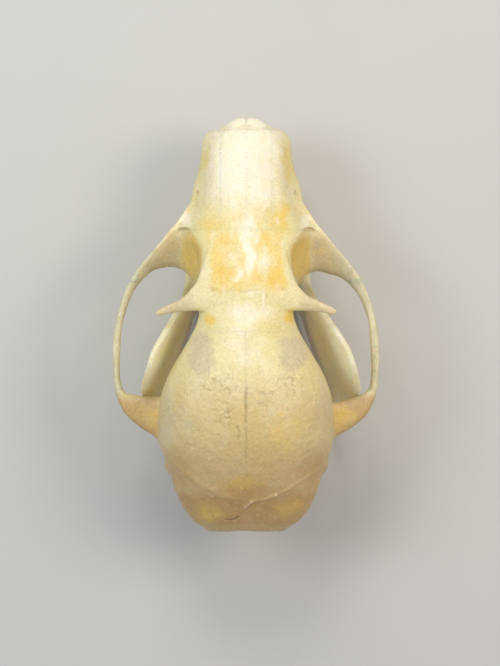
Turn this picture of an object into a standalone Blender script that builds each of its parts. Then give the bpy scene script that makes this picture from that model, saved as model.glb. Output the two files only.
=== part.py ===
"""Skull of a short-nosed fruit bat with its lower jaw closed under it, each bone its own solid.

The nose points to -Y, +Z is up, the skull rests on the lower jaw at z = 0 and the origin lies at
the middle of its footprint. Places are written as (out, back, up): distance from the midline,
positive on the animal's left, distance behind the front tip and height above the table, in
millimetres of this skull.
"""

import math

import bmesh
import bpy
import numpy as np
from mathutils import Vector

# Driving sizes, in metres
SKULL_LENGTH = 0.0286
BONE_GAP = 0.0003
# Cubes on which the forms are fused, first the thick ones and then all
COARSE_CUBE = 0.0002
FINE_CUBE = 0.00013

# One millimetre of a skull 28.6 mm long, the unit of every table below
MM = SKULL_LENGTH / 28.6
MIDDLE_BACK = 14.3
GAP = BONE_GAP / MM
LEFT, RIGHT = 1, -1

# Stations of the upright ovals: back, half width, lowest level, widest level, highest level
BRAINCASE = (
    (12.4, 2.70, 7.4, 9.6, 11.7),
    (13.6, 3.15, 7.3, 9.8, 12.1),
    (14.8, 3.60, 7.3, 9.9, 12.6),
    (16.2, 4.40, 7.1, 9.9, 13.2),
    (17.8, 5.30, 6.8, 9.9, 13.75),
    (19.4, 5.85, 6.4, 9.8, 14.05),
    (21.0, 5.95, 6.1, 9.5, 14.0),
    (22.6, 5.84, 6.0, 9.2, 13.6),
    (24.2, 5.24, 6.0, 8.9, 12.9),
    (25.8, 4.80, 6.1, 8.6, 11.9),
    (27.1, 4.16, 6.3, 8.4, 10.8),
    (28.0, 3.30, 6.7, 8.3, 9.9),
    (28.5, 2.30, 7.2, 8.3, 9.3),
)
TOOTH_BLOCK = (
    (0.60, 1.95, 5.5, 6.3, 7.3),
    (0.84, 2.60, 5.3, 6.3, 7.7),
    (1.22, 2.97, 5.2, 6.3, 7.9),
    (1.80, 3.11, 5.1, 6.3, 8.1),
    (2.70, 3.18, 5.1, 6.3, 8.2),
    (3.75, 3.36, 5.2, 6.4, 8.2),
    (4.60, 3.68, 5.2, 6.5, 8.1),
    (6.20, 4.00, 5.2, 6.6, 8.0),
    (8.00, 4.20, 5.2, 6.5, 7.8),
    (9.50, 4.25, 5.2, 6.4, 7.4),
    (10.8, 4.05, 5.2, 6.3, 7.2),
    (11.6, 3.55, 5.3, 6.3, 7.1),
    (12.3, 2.80, 5.5, 6.3, 6.9),
)
FRONT_BUMP = (
    (-0.12, 0.55, 5.8, 6.3, 6.8),
    (0.02, 0.95, 5.6, 6.3, 6.95),
    (0.26, 1.38, 5.4, 6.2, 7.05),
    (0.56, 1.75, 5.3, 6.2, 7.1),
    (1.40, 2.40, 5.2, 6.2, 7.3),
)
PALATE_REAR = (
    (11.6, 3.00, 5.5, 6.1, 7.2),
    (12.6, 2.50, 5.5, 6.2, 7.6),
    (13.6, 2.05, 5.5, 6.4, 7.8),
    (14.6, 1.85, 5.6, 6.6, 7.9),
)
# Stations of the face: back, level of the roof, edge of the roof, middle of the wall and foot of
# the wall, each as (out, up), and lowest level
FACE = (
    (0.80, 8.75, 1.30, 8.50, 1.95, 7.80, 2.10, 6.90, 6.0),
    (1.40, 8.98, 1.75, 8.60, 2.40, 7.75, 2.60, 6.70, 5.8),
    (2.40, 9.27, 2.00, 8.78, 2.68, 7.85, 2.90, 6.60, 5.8),
    (4.00, 9.63, 2.08, 9.08, 2.80, 8.05, 3.20, 6.60, 5.8),
    (5.50, 9.95, 2.20, 9.38, 2.98, 8.30, 3.45, 6.70, 5.8),
    (7.00, 10.30, 2.60, 9.78, 3.65, 8.60, 4.10, 6.90, 5.8),
    (8.20, 10.72, 3.15, 10.25, 3.95, 8.95, 4.50, 7.00, 5.8),
    (9.20, 11.05, 2.80, 10.70, 3.45, 9.15, 4.40, 7.10, 5.8),
    (10.2, 11.38, 2.85, 10.95, 3.15, 9.30, 4.10, 7.10, 5.8),
    (11.1, 11.62, 3.00, 11.05, 2.95, 9.35, 3.70, 7.00, 5.8),
    (12.0, 11.85, 3.15, 11.10, 2.60, 9.30, 2.80, 7.00, 5.8),
    (13.2, 12.05, 3.10, 10.95, 2.55, 9.20, 2.10, 7.20, 5.8),
    (14.6, 12.20, 2.90, 10.60, 2.50, 9.10, 1.90, 7.20, 5.8),
)

# Stations of the flat bars: outer or front edge and inner or rear edge, each as (out, back, up),
# and half height
CHEEK_ARCH = (
    (3.30, 4.90, 6.9, 2.90, 11.2, 6.8, 0.80),
    (3.65, 5.50, 7.2, 3.40, 11.1, 6.8, 0.80),
    (4.18, 6.20, 7.5, 4.30, 10.7, 6.8, 0.72),
    (4.85, 7.20, 7.8, 5.00, 10.35, 6.85, 0.62),
    (5.50, 8.00, 7.95, 5.60, 10.25, 6.9, 0.56),
    (6.21, 8.85, 8.0, 6.10, 10.3, 7.0, 0.53),
    (6.93, 9.70, 7.95, 6.53, 10.5, 7.1, 0.52),
    (7.54, 10.45, 7.85, 6.98, 10.95, 7.25, 0.52),
    (8.02, 11.20, 7.75, 7.48, 11.5, 7.35, 0.52),
    (8.42, 12.00, 7.7, 7.90, 12.15, 7.5, 0.52),
    (8.82, 13.20, 7.75, 8.30, 13.3, 7.65, 0.51),
    (9.12, 14.60, 7.85, 8.60, 14.6, 7.8, 0.50),
    (9.24, 16.20, 7.9, 8.72, 16.2, 7.85, 0.50),
    (9.20, 17.70, 7.95, 8.72, 17.60, 7.9, 0.52),
    (9.02, 18.90, 8.0, 8.62, 18.55, 7.95, 0.56),
    (8.72, 19.78, 8.05, 8.35, 18.93, 8.05, 0.60),
    (8.20, 20.62, 8.15, 7.75, 19.10, 8.15, 0.62),
    (7.30, 21.39, 8.25, 6.90, 19.13, 8.2, 0.66),
    (6.42, 21.91, 8.35, 5.90, 19.1, 8.25, 0.72),
    (5.60, 22.60, 8.45, 4.90, 19.1, 8.3, 0.85),
)
# Small differences between the two arches: side, column of the table above that moves and by how
# much, then the column, middle and half width of the stretch where it does
ARCH_SHIFTS = (
    (RIGHT, 4, 0.55, 3, 6.1, 1.10),
    (RIGHT, 3, -0.16, 4, 11.7, 0.70),
    (RIGHT, 3, -0.11, 4, 15.5, 4.50),
    (LEFT, 4, 0.10, 3, 6.1, 0.80),
    (LEFT, 4, -0.16, 3, 4.6, 0.50),
)
BROW = (
    (2.60, 8.90, 10.45, 1.40, 9.20, 10.7, 0.35),
    (2.80, 9.45, 10.75, 1.40, 9.90, 11.0, 0.34),
    (2.93, 10.06, 10.95, 1.40, 10.7, 11.2, 0.33),
    (3.14, 10.74, 11.05, 1.50, 11.6, 11.4, 0.32),
    (3.40, 11.41, 11.08, 1.70, 12.6, 11.4, 0.32),
    (3.78, 11.92, 10.98, 2.40, 13.40, 11.2, 0.32),
    (4.22, 12.36, 10.85, 3.40, 13.33, 10.95, 0.31),
    (4.83, 12.68, 10.66, 4.25, 13.36, 10.7, 0.28),
    (5.50, 12.95, 10.45, 5.15, 13.44, 10.45, 0.25),
    (5.92, 13.15, 10.33, 5.76, 13.60, 10.33, 0.24),
    (6.16, 13.34, 10.28, 6.05, 13.60, 10.28, 0.19),
)
ORBIT_RIM = (
    (2.30, 8.60, 10.0, 2.80, 9.30, 10.60, 0.22),
    (2.60, 7.95, 9.7, 3.13, 8.78, 10.20, 0.21),
    (2.90, 7.25, 9.0, 3.57, 8.02, 9.65, 0.22),
    (3.30, 6.85, 8.3, 4.00, 7.66, 8.98, 0.19),
    (3.85, 6.75, 7.9, 4.48, 7.62, 8.44, 0.17),
    (4.40, 7.05, 7.8, 4.88, 7.82, 8.10, 0.16),
    (4.95, 7.50, 7.8, 5.32, 8.25, 7.92, 0.16),
    (5.50, 8.20, 7.8, 5.80, 8.90, 7.92, 0.14),
)
WING_PLATE = (
    (1.95, 13.4, 6.6, 1.45, 13.4, 6.6, 1.10),
    (1.95, 14.8, 6.5, 1.42, 14.8, 6.5, 1.05),
    (2.05, 16.2, 6.6, 1.52, 16.2, 6.6, 0.85),
    (2.15, 17.6, 6.8, 1.65, 17.6, 6.8, 0.60),
)
WING_HOOK = (
    (1.95, 14.4, 5.55, 1.45, 14.4, 5.55, 0.40),
    (2.10, 15.4, 5.25, 1.60, 15.4, 5.25, 0.30),
    (2.20, 16.2, 5.10, 1.80, 16.2, 5.10, 0.22),
)

# Lower jaw, one side. Body: back, out, half thickness, lowest level, highest level
JAW_BODY = (
    (0.85, 0.60, 0.50, 2.20, 3.15),
    (1.70, 1.05, 0.72, 1.10, 3.20),
    (2.80, 1.50, 0.76, 0.35, 3.20),
    (4.20, 2.00, 0.78, -0.06, 3.15),
    (6.00, 2.55, 0.76, 0.18, 3.15),
    (8.00, 3.05, 0.76, 0.45, 3.15),
    (10.0, 3.60, 0.74, 0.62, 3.20),
    (12.0, 3.92, 0.62, 0.72, 3.40),
    (13.6, 4.15, 0.45, 0.75, 3.60),
)
CHIN = (
    (0.80, 0.85, 2.20, 2.60, 3.05),
    (1.60, 1.35, 1.00, 2.20, 3.05),
    (2.80, 1.60, 0.05, 1.80, 2.90),
    (4.00, 1.70, -0.16, 1.40, 2.50),
    (5.00, 1.60, -0.10, 1.00, 1.90),
    (5.90, 1.10, 0.30, 0.90, 1.40),
)
# Upright plate: back, lower edge and upper edge, each as (out, up), and half thickness
JAW_PLATE = (
    (11.3, 3.80, 1.00, 3.95, 3.20, 0.55),
    (12.2, 3.90, 0.80, 4.40, 4.60, 0.50),
    (13.0, 4.08, 0.75, 4.88, 6.80, 0.38),
    (14.0, 4.20, 0.68, 5.50, 8.90, 0.33),
    (15.0, 4.48, 0.58, 6.08, 10.2, 0.31),
    (16.0, 4.83, 0.42, 6.62, 10.9, 0.30),
    (17.0, 5.20, 0.22, 6.95, 10.95, 0.30),
    (18.0, 5.50, 0.00, 7.28, 10.1, 0.30),
    (18.8, 5.75, -0.14, 7.50, 8.8, 0.30),
    (19.5, 5.90, -0.12, 7.15, 7.4, 0.31),
    (20.3, 6.00, 0.15, 6.65, 6.85, 0.33),
    (20.9, 6.02, 0.80, 6.40, 5.0, 0.28),
    (21.3, 6.05, 1.50, 6.25, 3.9, 0.24),
    (21.55, 6.08, 2.20, 6.15, 3.1, 0.18),
)
# How far the snout lies out of line, its left front corner is set back, and the left spike bends back
SNOUT_SHIFT, CORNER_SHIFT, SPIKE_BEND = -0.03, 0.05, 0.07
# Power of the height by which the plate leans out, and of the cosine that keeps its rim blunt
PLATE_FLARE, RIM_POWER = 1.8, 0.4
# The jaw lies a little to the right of the skull, more so the higher up
JAW_SHIFT, JAW_LEAN = -0.04, -0.030

# Ellipsoids: out, back, up, then half sizes out, back, up
CANINE_SWELLING = (2.42, 1.95, 6.3, 0.66, 0.95, 1.45)
EAR_BULB = (4.15, 22.3, 6.15, 1.15, 1.50, 1.05)
MASTOID = (4.95, 23.8, 7.40, 0.75, 1.00, 1.20)
NECK_KNOB = (2.35, 27.75, 6.95, 0.75, 0.95, 0.95)
JAW_KNOB = (6.45, 20.35, 6.82, 1.15, 0.50, 0.45)
NOSE_OPENING = (0.0, 0.80, 7.80, 1.30, 3.00, 0.78)
SPINAL_OPENING = (0.0, 28.9, 7.95, 1.95, 3.60, 1.35)
THROAT_OPENING = (0.0, 15.6, 6.75, 1.20, 2.60, 0.80)
PALATE_VAULT = (0.0, 6.6, 4.75, 2.10, 5.60, 1.05)
EAR_OPENING = (5.30, 22.2, 6.05, 0.75, 0.70, 0.50)
JAW_NOTCH = (6.2, 21.7, 5.20, 2.00, 2.10, 1.15)
CHEEK_OPENING = (3.55, 5.30, 7.60, 0.50, 0.38, 0.26)

# Teeth: out, back, height of crown, half width across the row, half length along it, share of
# that size left at the tip, lean of the tip outwards and backwards
UPPER_GUM = 5.35
UPPER_TEETH = (
    (0.36, 0.36, 1.00, 0.28, 0.19, 0.78, 0.00, 0.05),
    (0.98, 0.52, 0.95, 0.26, 0.19, 0.70, 0.03, 0.05),
    (2.50, 1.95, 2.85, 0.52, 0.72, 0.12, 0.22, 0.35),
    (2.64, 3.25, 0.55, 0.24, 0.24, 0.62, 0.00, 0.00),
    (2.95, 4.70, 1.50, 0.56, 0.98, 0.24, 0.06, 0.15),
    (3.28, 6.95, 1.18, 0.66, 1.08, 0.64, 0.00, 0.00),
    (3.60, 9.20, 1.05, 0.64, 1.04, 0.72, 0.00, 0.00),
)
LOWER_GUM = 3.05
LOWER_TEETH = (
    (0.27, 0.95, 0.80, 0.20, 0.16, 0.85, 0.00, 0.00),
    (0.73, 1.08, 0.80, 0.20, 0.17, 0.75, 0.00, 0.00),
    (1.30, 1.45, 1.80, 0.40, 0.45, 0.14, 0.08, 0.20),
    (1.66, 2.42, 0.60, 0.24, 0.25, 0.62, 0.00, 0.00),
    (1.98, 3.55, 1.35, 0.46, 0.76, 0.24, 0.00, 0.10),
    (2.50, 5.72, 1.00, 0.54, 1.02, 0.52, 0.00, 0.00),
    (3.00, 7.95, 0.95, 0.54, 1.04, 0.72, 0.00, 0.00),
    (3.45, 9.95, 0.80, 0.45, 0.74, 0.74, 0.00, 0.00),
)
ROOT_DEPTH = 0.7

# What the rounding of the thick forms takes off on average, put back along the normals
SHRUNK = 0.05
# Triangles of the upper skull and of the lower jaw before the teeth and the parting are added
CRANIUM_TRIANGLES = 7800
JAW_TRIANGLES = 3000

# Crest across the back of the skull: out and back, from the midline to the ear
NECK_CREST = ((0.0, 26.35), (1.2, 26.1), (2.4, 25.5), (3.5, 24.8), (4.6, 23.9), (5.4, 23.0))
CREST_HALF_THICKNESS = 0.26

# Bones in the order in which they are parted, each giving way to those before it by the gap.
# Outline in the side view as (back, up) points, then from and to, measured out from the midline.
# A bone from the midline outwards is a pair, and one that starts past it is single.
PAIR = 0.0
SINGLE = -9.0
FAR = 12.0
BONES = (
    ("zygomatic", ((11.3, 3.0), (18.7, 3.0), (18.7, 12.0), (11.3, 12.0)), 6.9, FAR),
    ("nasal", ((-2.0, 8.4), (7.8, 8.4), (7.8, 20.0), (-2.0, 20.0)), PAIR, 1.75),
    ("premaxilla", ((-2.0, 3.0), (1.25, 3.0), (0.95, 8.4), (-2.0, 8.4)), PAIR, 1.95),
    ("frontal", ((7.8, 8.3), (13.2, 8.3), (14.7, 9.4), (15.0, 20.0), (7.8, 20.0)), SINGLE, 9.0),
    ("parietal", ((14.4, 9.4), (23.2, 9.2), (31.0, 15.8), (31.0, 20.0), (14.4, 20.0)), PAIR, FAR),
    ("tympanic", ((20.6, 2.0), (23.9, 2.0), (23.9, 6.25), (20.6, 6.25)), 2.7, 6.5),
    ("temporal", ((16.6, 3.0), (24.6, 3.0), (24.6, 7.6), (23.2, 9.3), (16.6, 9.45)), 3.0, FAR),
    ("palatine", ((11.4, 3.0), (14.6, 3.0), (14.6, 7.4), (11.4, 7.4)), SINGLE, 9.0),
    ("sphenoid", ((12.2, 3.0), (20.4, 3.0), (20.4, 9.6), (12.2, 9.6)), SINGLE, 9.0),
    ("maxilla", ((-2.0, 3.0), (12.2, 3.0), (12.2, 20.0), (-2.0, 20.0)), PAIR, FAR),
    ("occipital", ((20.4, 3.0), (31.0, 3.0), (31.0, 20.0), (20.4, 20.0)), SINGLE, 9.0),
)
JAW_OUTLINE = ((-2.0, 0.0), (23.0, 0.0), (23.0, 14.0), (-2.0, 14.0))

# Bone colours, linear, by bone
COLOURS = {
    "nasal": (0.90, 0.85, 0.70),
    "premaxilla": (0.90, 0.84, 0.68),
    "maxilla": (0.84, 0.76, 0.56),
    "frontal": (0.88, 0.77, 0.48),
    "parietal": (0.76, 0.64, 0.38),
    "temporal": (0.58, 0.44, 0.20),
    "occipital": (0.50, 0.38, 0.17),
    "zygomatic": (0.70, 0.62, 0.42),
}
PLAIN_BONE = (0.70, 0.58, 0.34)


def place(out, back, up):
    """Point in metres from its distances on the skull."""
    return Vector((out, back - MIDDLE_BACK, up)) * MM


def smooth_rows(rows, steps):
    """Rows on a Catmull-Rom curve through the given ones, with `steps` of them from one to the next."""
    rows = np.array(rows, float)
    ends = np.vstack((2 * rows[0] - rows[1], rows, 2 * rows[-1] - rows[-2]))
    before, start, end, after = ends[:-3], ends[1:-2], ends[2:-1], ends[3:]
    made = []
    for step in range(steps):
        t = step / steps
        bend = (2 * before - 5 * start + 4 * end - after) * t * t
        twist = (3 * start - before - 3 * end + after) * t**3
        made.append(start + 0.5 * ((end - before) * t + bend + twist))
    return np.vstack((np.stack(made, axis=1).reshape(-1, rows.shape[1]), rows[-1:]))


def turns(sides):
    """Even angles round a ring."""
    return math.tau * (np.arange(sides) + 0.5) / sides


def squared(value, power):
    """Signed power, which squares off a circle where power is under 1."""
    return np.sign(value) * np.abs(value) ** power


def soft_step(value, low, high):
    """0 below low, 1 above high and a smooth rise between them."""
    t = np.clip((value - low) / (high - low), 0.0, 1.0)
    return t * t * (3 - 2 * t)


def linked(name, work):
    """Object in the scene from a bmesh, which it uses up."""
    mesh = bpy.data.meshes.new(name)
    work.to_mesh(mesh)
    work.free()
    made = bpy.data.objects.new(name, mesh)
    bpy.context.scene.collection.objects.link(made)
    return made


def skin(name, rings):
    """Closed object through rings of the same number of points, with both ends filled."""
    work = bmesh.new()
    rows = [[work.verts.new(place(*point)) for point in ring] for ring in rings]
    for near, far in zip(rows, rows[1:]):
        for i in range(len(near)):
            j = (i + 1) % len(near)
            work.faces.new((near[i], near[j], far[j], far[i]))
    work.faces.new(rows[0])
    work.faces.new(rows[-1])
    bmesh.ops.recalc_face_normals(work, faces=work.faces)
    return linked(name, work)


def oval_body(name, rows, sides=40, steps=3, square=0.9):
    """Body with one upright oval at each station, on both sides of the midline."""
    back, half, low, wide, top = (part[:, None] for part in smooth_rows(rows, steps).T)
    across, rise = squared(np.cos(turns(sides)), square), squared(np.sin(turns(sides)), square)
    up = wide + rise * np.where(rise > 0, top - wide, wide - low)
    return skin(name, np.stack(np.broadcast_arrays(half * across, back, up), axis=-1))


def face_body(rows, sides=48, steps=3):
    """Face with a house-shaped section at each station, a closed curve through the roof, its edge,
    the middle and the foot of the wall and the underside, the same on both sides."""
    back, top, roof, roof_up, wall, wall_up, foot, foot_up, low = smooth_rows(rows, steps).T
    none = np.zeros_like(back)
    out = np.stack((none, roof, wall, foot, none, -foot, -wall, -roof), axis=1)
    up = np.stack((top, roof_up, wall_up, foot_up, low, foot_up, wall_up, roof_up), axis=1)
    corners = np.stack((out, up), axis=-1)
    at = np.arange(sides) * corners.shape[1] / sides
    index = at.astype(int)
    t = (at - index)[None, :, None]
    before, start, end, after = (np.take(corners, index + k, 1, mode="wrap") for k in (-1, 0, 1, 2))
    bend = (2 * before - 5 * start + 4 * end - after) * t * t
    twist = (3 * start - before - 3 * end + after) * t**3
    curve = start + 0.5 * ((end - before) * t + bend + twist)
    back = np.broadcast_to(back[:, None], curve.shape[:2])
    return skin("face", np.stack((curve[..., 0], back, curve[..., 1]), axis=-1))


def flat_bar(name, rows, side, sides=16, steps=3):
    """Tapered bar between an outer and an inner edge, an oval across at each station."""
    rows = smooth_rows(rows, steps)
    outer, inner, half = rows[:, None, 0:3], rows[:, None, 3:6], rows[:, None, 6]
    across = squared(np.cos(turns(sides)), 0.8)[None, :, None]
    points = (outer + inner) / 2 + (outer - inner) / 2 * across
    points[..., 2] += half * squared(np.sin(turns(sides)), 0.8)
    return skin(name, points * (side, 1, 1))


def cheek_arch(name, rows, side):
    """Cheek arch, its edge moved a little on each side by bells along it."""
    plain = np.array(rows)
    rows = plain.copy()
    for where, moved_column, amount, column, middle, width in ARCH_SHIFTS:
        if where == side:
            rows[:, moved_column] += amount * np.exp(-((plain[:, column] - middle) / width) ** 2)
    return flat_bar(name, rows, side, sides=20)


def brow(side):
    """Brow bar with its spike. The left spike bends a little further back."""
    rows = np.array(BROW)
    if side == LEFT:
        rows[:, [1, 4]] += SPIKE_BEND * soft_step(rows[:, 0:1], 3.6, 5.2)
    return flat_bar("brow", rows, side)


def ball(name, sizes, side=LEFT):
    """Ellipsoid with three half sizes."""
    out, back, up, half_out, half_back, half_up = sizes
    work = bmesh.new()
    bmesh.ops.create_uvsphere(work, u_segments=28, v_segments=18, radius=1.0)
    for vert in work.verts:
        x, y, z = vert.co
        vert.co = place(side * out + x * half_out, back + y * half_back, up + z * half_up)
    return linked(name, work)


def tooth(sizes, side, gum, direction, sides=8):
    """Crown from a root sunk in the bone, swelling above a neck at the gum and drawn in to its tip,
    which leans outwards and backwards."""
    out, back, height, half_out, half_back, tip_share, lean_out, lean_back = sizes
    levels = (
        (-ROOT_DEPTH, 0.80, 0.0),
        (0.05 * height, 0.86, 0.0),
        (0.30 * height, 1.0, 0.1),
        (0.70 * height, 0.45 + 0.55 * tip_share, 0.5),
        (height, 0.75 * tip_share, 1.0),
    )
    rings = []
    for along, share, lean in levels:
        x = side * (out + lean * lean_out) + side * half_out * share * np.cos(turns(sides))
        y = back + lean * lean_back + half_back * share * np.sin(turns(sides))
        rings.append(np.column_stack((x, y, np.full(sides, gum + direction * along))))
    return skin("tooth", rings)


def braincase_top(out, back):
    """Level of the braincase's upper surface at a place seen from above."""
    rows = smooth_rows(BRAINCASE, 4)
    half_width, wide, top = (np.interp(back, rows[:, 0], rows[:, k]) for k in (1, 3, 4))
    return wide + (top - wide) * max(0.0, 1 - (out / half_width) ** 2) ** 0.5


def neck_crest():
    """Low ridge across the back of the skull, laid on the surface from ear to ear."""
    half = smooth_rows(NECK_CREST, 3)
    line = [(-out, back) for out, back in half[:0:-1]] + [tuple(row) for row in half]
    round_it = np.column_stack((0 * turns(8), np.cos(turns(8)), np.sin(turns(8))))
    rings = []
    for out, back in line:
        middle = (out, back, braincase_top(out, back))
        rings.append(middle + CREST_HALF_THICKNESS * round_it)
    return skin("neck_crest", rings)


def jaw_body(side):
    """Side of the lower jaw that carries the teeth, an oval at each station."""
    back, out, half, low, top = (part[:, None] for part in smooth_rows(JAW_BODY, 3).T)
    across, rise = squared(np.cos(turns(20)), 0.8), squared(np.sin(turns(20)), 0.8)
    up = (low + top) / 2 + rise * (top - low) / 2
    return skin("jaw_body", np.stack(np.broadcast_arrays(side * out + half * across, back, up), axis=-1))


def jaw_plate(side):
    """Upright plate for the jaw muscles: a thin oval at each station, leaning outwards by a power
    of the height, so that it flares towards its top."""
    back, low_out, low, top_out, top, half = (part[:, None] for part in smooth_rows(JAW_PLATE, 3).T)
    share = 0.5 + 0.5 * squared(np.sin(turns(36)), 0.8)
    out = low_out + (top_out - low_out) * share**PLATE_FLARE + half * squared(np.cos(turns(36)), RIM_POWER)
    up = low + (top - low) * share
    return skin("jaw_plate", np.stack(np.broadcast_arrays(side * out, back, up), axis=-1))


def gathered(name, parts):
    """One object that holds the meshes of several, which it uses up."""
    work = bmesh.new()
    for part in parts:
        work.from_mesh(part.data)
        bpy.data.objects.remove(part)
    return linked(name, work)


def applied(body):
    """Puts what the body's modifiers make into its mesh."""
    graph = bpy.context.evaluated_depsgraph_get()
    made = bpy.data.meshes.new_from_object(body.evaluated_get(graph))
    body.modifiers.clear()
    body.data = made
    return body


def fused(name, parts, cube):
    """One skin round all the closed skins of several objects, on cubes of the given size."""
    body = gathered(name, parts)
    step = body.modifiers.new("fuse", "REMESH")
    step.mode = "VOXEL"
    step.voxel_size = cube
    return applied(body)


def relaxed(body, shares):
    """Rounds the body off: each pass moves every point by a share of the way to the mean of its
    neighbours, and a negative share moves it back, which keeps the volume."""
    mesh = body.data
    edges = np.empty(len(mesh.edges) * 2, np.int32)
    mesh.edges.foreach_get("vertices", edges)
    one, two = edges.reshape(-1, 2).T
    starts, ends = np.concatenate((one, two)), np.concatenate((two, one))
    points = np.empty(len(mesh.vertices) * 3, np.float32)
    mesh.vertices.foreach_get("co", points)
    points = points.reshape(-1, 3).astype(float)
    count = np.bincount(starts, minlength=len(points))[:, None]
    for share in shares:
        sums = [np.bincount(starts, points[ends, axis], len(points)) for axis in range(3)]
        points += share * (np.stack(sums, axis=1) / count - points)
    set_points(mesh, points)


def set_points(mesh, points):
    """Moves the points of a mesh to new places."""
    mesh.vertices.foreach_set("co", points.astype(np.float32).ravel())
    mesh.update()


def moved(body, shift):
    """Moves each point by a function of its distances on the skull and of its normal."""
    mesh = body.data
    points, normals = (np.empty(len(mesh.vertices) * 3, np.float32) for _ in range(2))
    mesh.vertices.foreach_get("co", points)
    mesh.vertex_normals.foreach_get("vector", normals)
    points = points.reshape(-1, 3) / MM + (0, MIDDLE_BACK, 0)
    points = points + shift(points, normals.reshape(-1, 3))
    set_points(mesh, (points - (0, MIDDLE_BACK, 0)) * MM)


def swelling(points, normals):
    """Shift along the normals that makes up for the rounding."""
    return SHRUNK * normals


def small_bends(points, normals):
    """Shift of the snout, which leans to the right and has its left front corner set back."""
    out, back, up = points.T
    front = soft_step(-back, -9.5, -6.5)
    corner = np.exp(-((out - 2.0) / 0.75) ** 2 - ((back - 0.55) / 0.7) ** 2)
    return np.stack((SNOUT_SHIFT * front, CORNER_SHIFT * corner, 0 * up), axis=1)


def jaw_lean(points, normals):
    """Shift of the lower jaw, which lies to the right of the skull, more so the higher up."""
    return (JAW_SHIFT + JAW_LEAN * points[:, 2:]) * np.array((1, 0, 0))


def thinned(body, triangles):
    """Brings the body down to a number of triangles, fewest where it is flattest."""
    step = body.modifiers.new("thin", "DECIMATE")
    step.ratio = triangles / (2 * len(body.data.polygons))
    step.use_collapse_triangulate = True
    return applied(body)


def combine(target, others, operation):
    """One Boolean of the target with a collection of closed objects, applied, which uses them up.
    The manifold solver keeps dense fused skins closed."""
    group = bpy.data.collections.new("work")
    bpy.context.scene.collection.children.link(group)
    for other in others:
        bpy.context.scene.collection.objects.unlink(other)
        group.objects.link(other)
    step = target.modifiers.new("work", "BOOLEAN")
    step.operand_type = "COLLECTION"
    step.collection = group
    step.operation = operation
    step.solver = "MANIFOLD"
    applied(target)
    for other in others:
        bpy.data.objects.remove(other)
    bpy.data.collections.remove(group)
    return target


def copy_of(source, name):
    """Separate object with a mesh of its own."""
    made = bpy.data.objects.new(name, source.data.copy())
    bpy.context.scene.collection.objects.link(made)
    return made


def grown(outline, margin):
    """Outline of a convex shape with each edge moved out by the margin."""
    corners = [Vector(point) for point in outline]
    made = []
    for before, corner, after in zip(corners[-1:] + corners, corners, corners[1:] + corners[:1]):
        one = (corner - before).normalized()
        two = (after - corner).normalized()
        out_one, out_two = Vector((one.y, -one.x)), Vector((two.y, -two.x))
        made.append(corner + (out_one + out_two) * margin / (1 + out_one.dot(out_two)))
    return made


def cell(outline, start, end, side, margin):
    """Block that holds one bone: its outline in the side view, from one distance out to another."""
    if start == SINGLE:
        start, end = -end, end
    shape = grown(outline, margin)
    return skin("cell", [[(side * out, *point) for point in shape] for out in (start - margin, end + margin)])


def largest_piece(body):
    """Leaves the body's largest closed surface and drops loose scraps and sealed hollows."""
    work = bmesh.new()
    work.from_mesh(body.data)
    bmesh.ops.triangulate(work, faces=work.faces)
    left = set(work.verts)
    pieces = []
    while left:
        piece, edge = set(), {left.pop()}
        while edge:
            piece |= edge
            edge = {link.other_vert(vert) for vert in edge for link in vert.link_edges} - piece
        left -= piece
        pieces.append(piece)
    keep = max(pieces, key=lambda piece: surface_area(piece))
    drop = [vert for vert in work.verts if vert not in keep]
    bmesh.ops.delete(work, geom=drop, context="VERTS")
    work.to_mesh(body.data)
    work.free()
    return body


def surface_area(piece):
    """Area of the faces on a set of vertices."""
    return sum(face.calc_area() for face in {face for vert in piece for face in vert.link_faces})


def bone_material(name, colour):
    """Dry bone: matt, with a slight gloss where it is dense."""
    material = bpy.data.materials.new(name)
    material.use_nodes = True
    shader = material.node_tree.nodes["Principled BSDF"]
    shader.inputs["Base Color"].default_value = (*colour, 1.0)
    shader.inputs["Roughness"].default_value = 0.55
    shader.inputs["Metallic"].default_value = 0.0
    return material


def finish(body, kind):
    """Largest closed surface, smooth shading with crisp sutures, and the bone's material."""
    largest_piece(body)
    body.data.materials.clear()
    body.data.materials.append(bone_material(f"{body.name}_bone", COLOURS.get(kind, PLAIN_BONE)))
    body.data.shade_smooth()
    body.data.set_sharp_from_angle(angle=math.radians(40))


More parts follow.
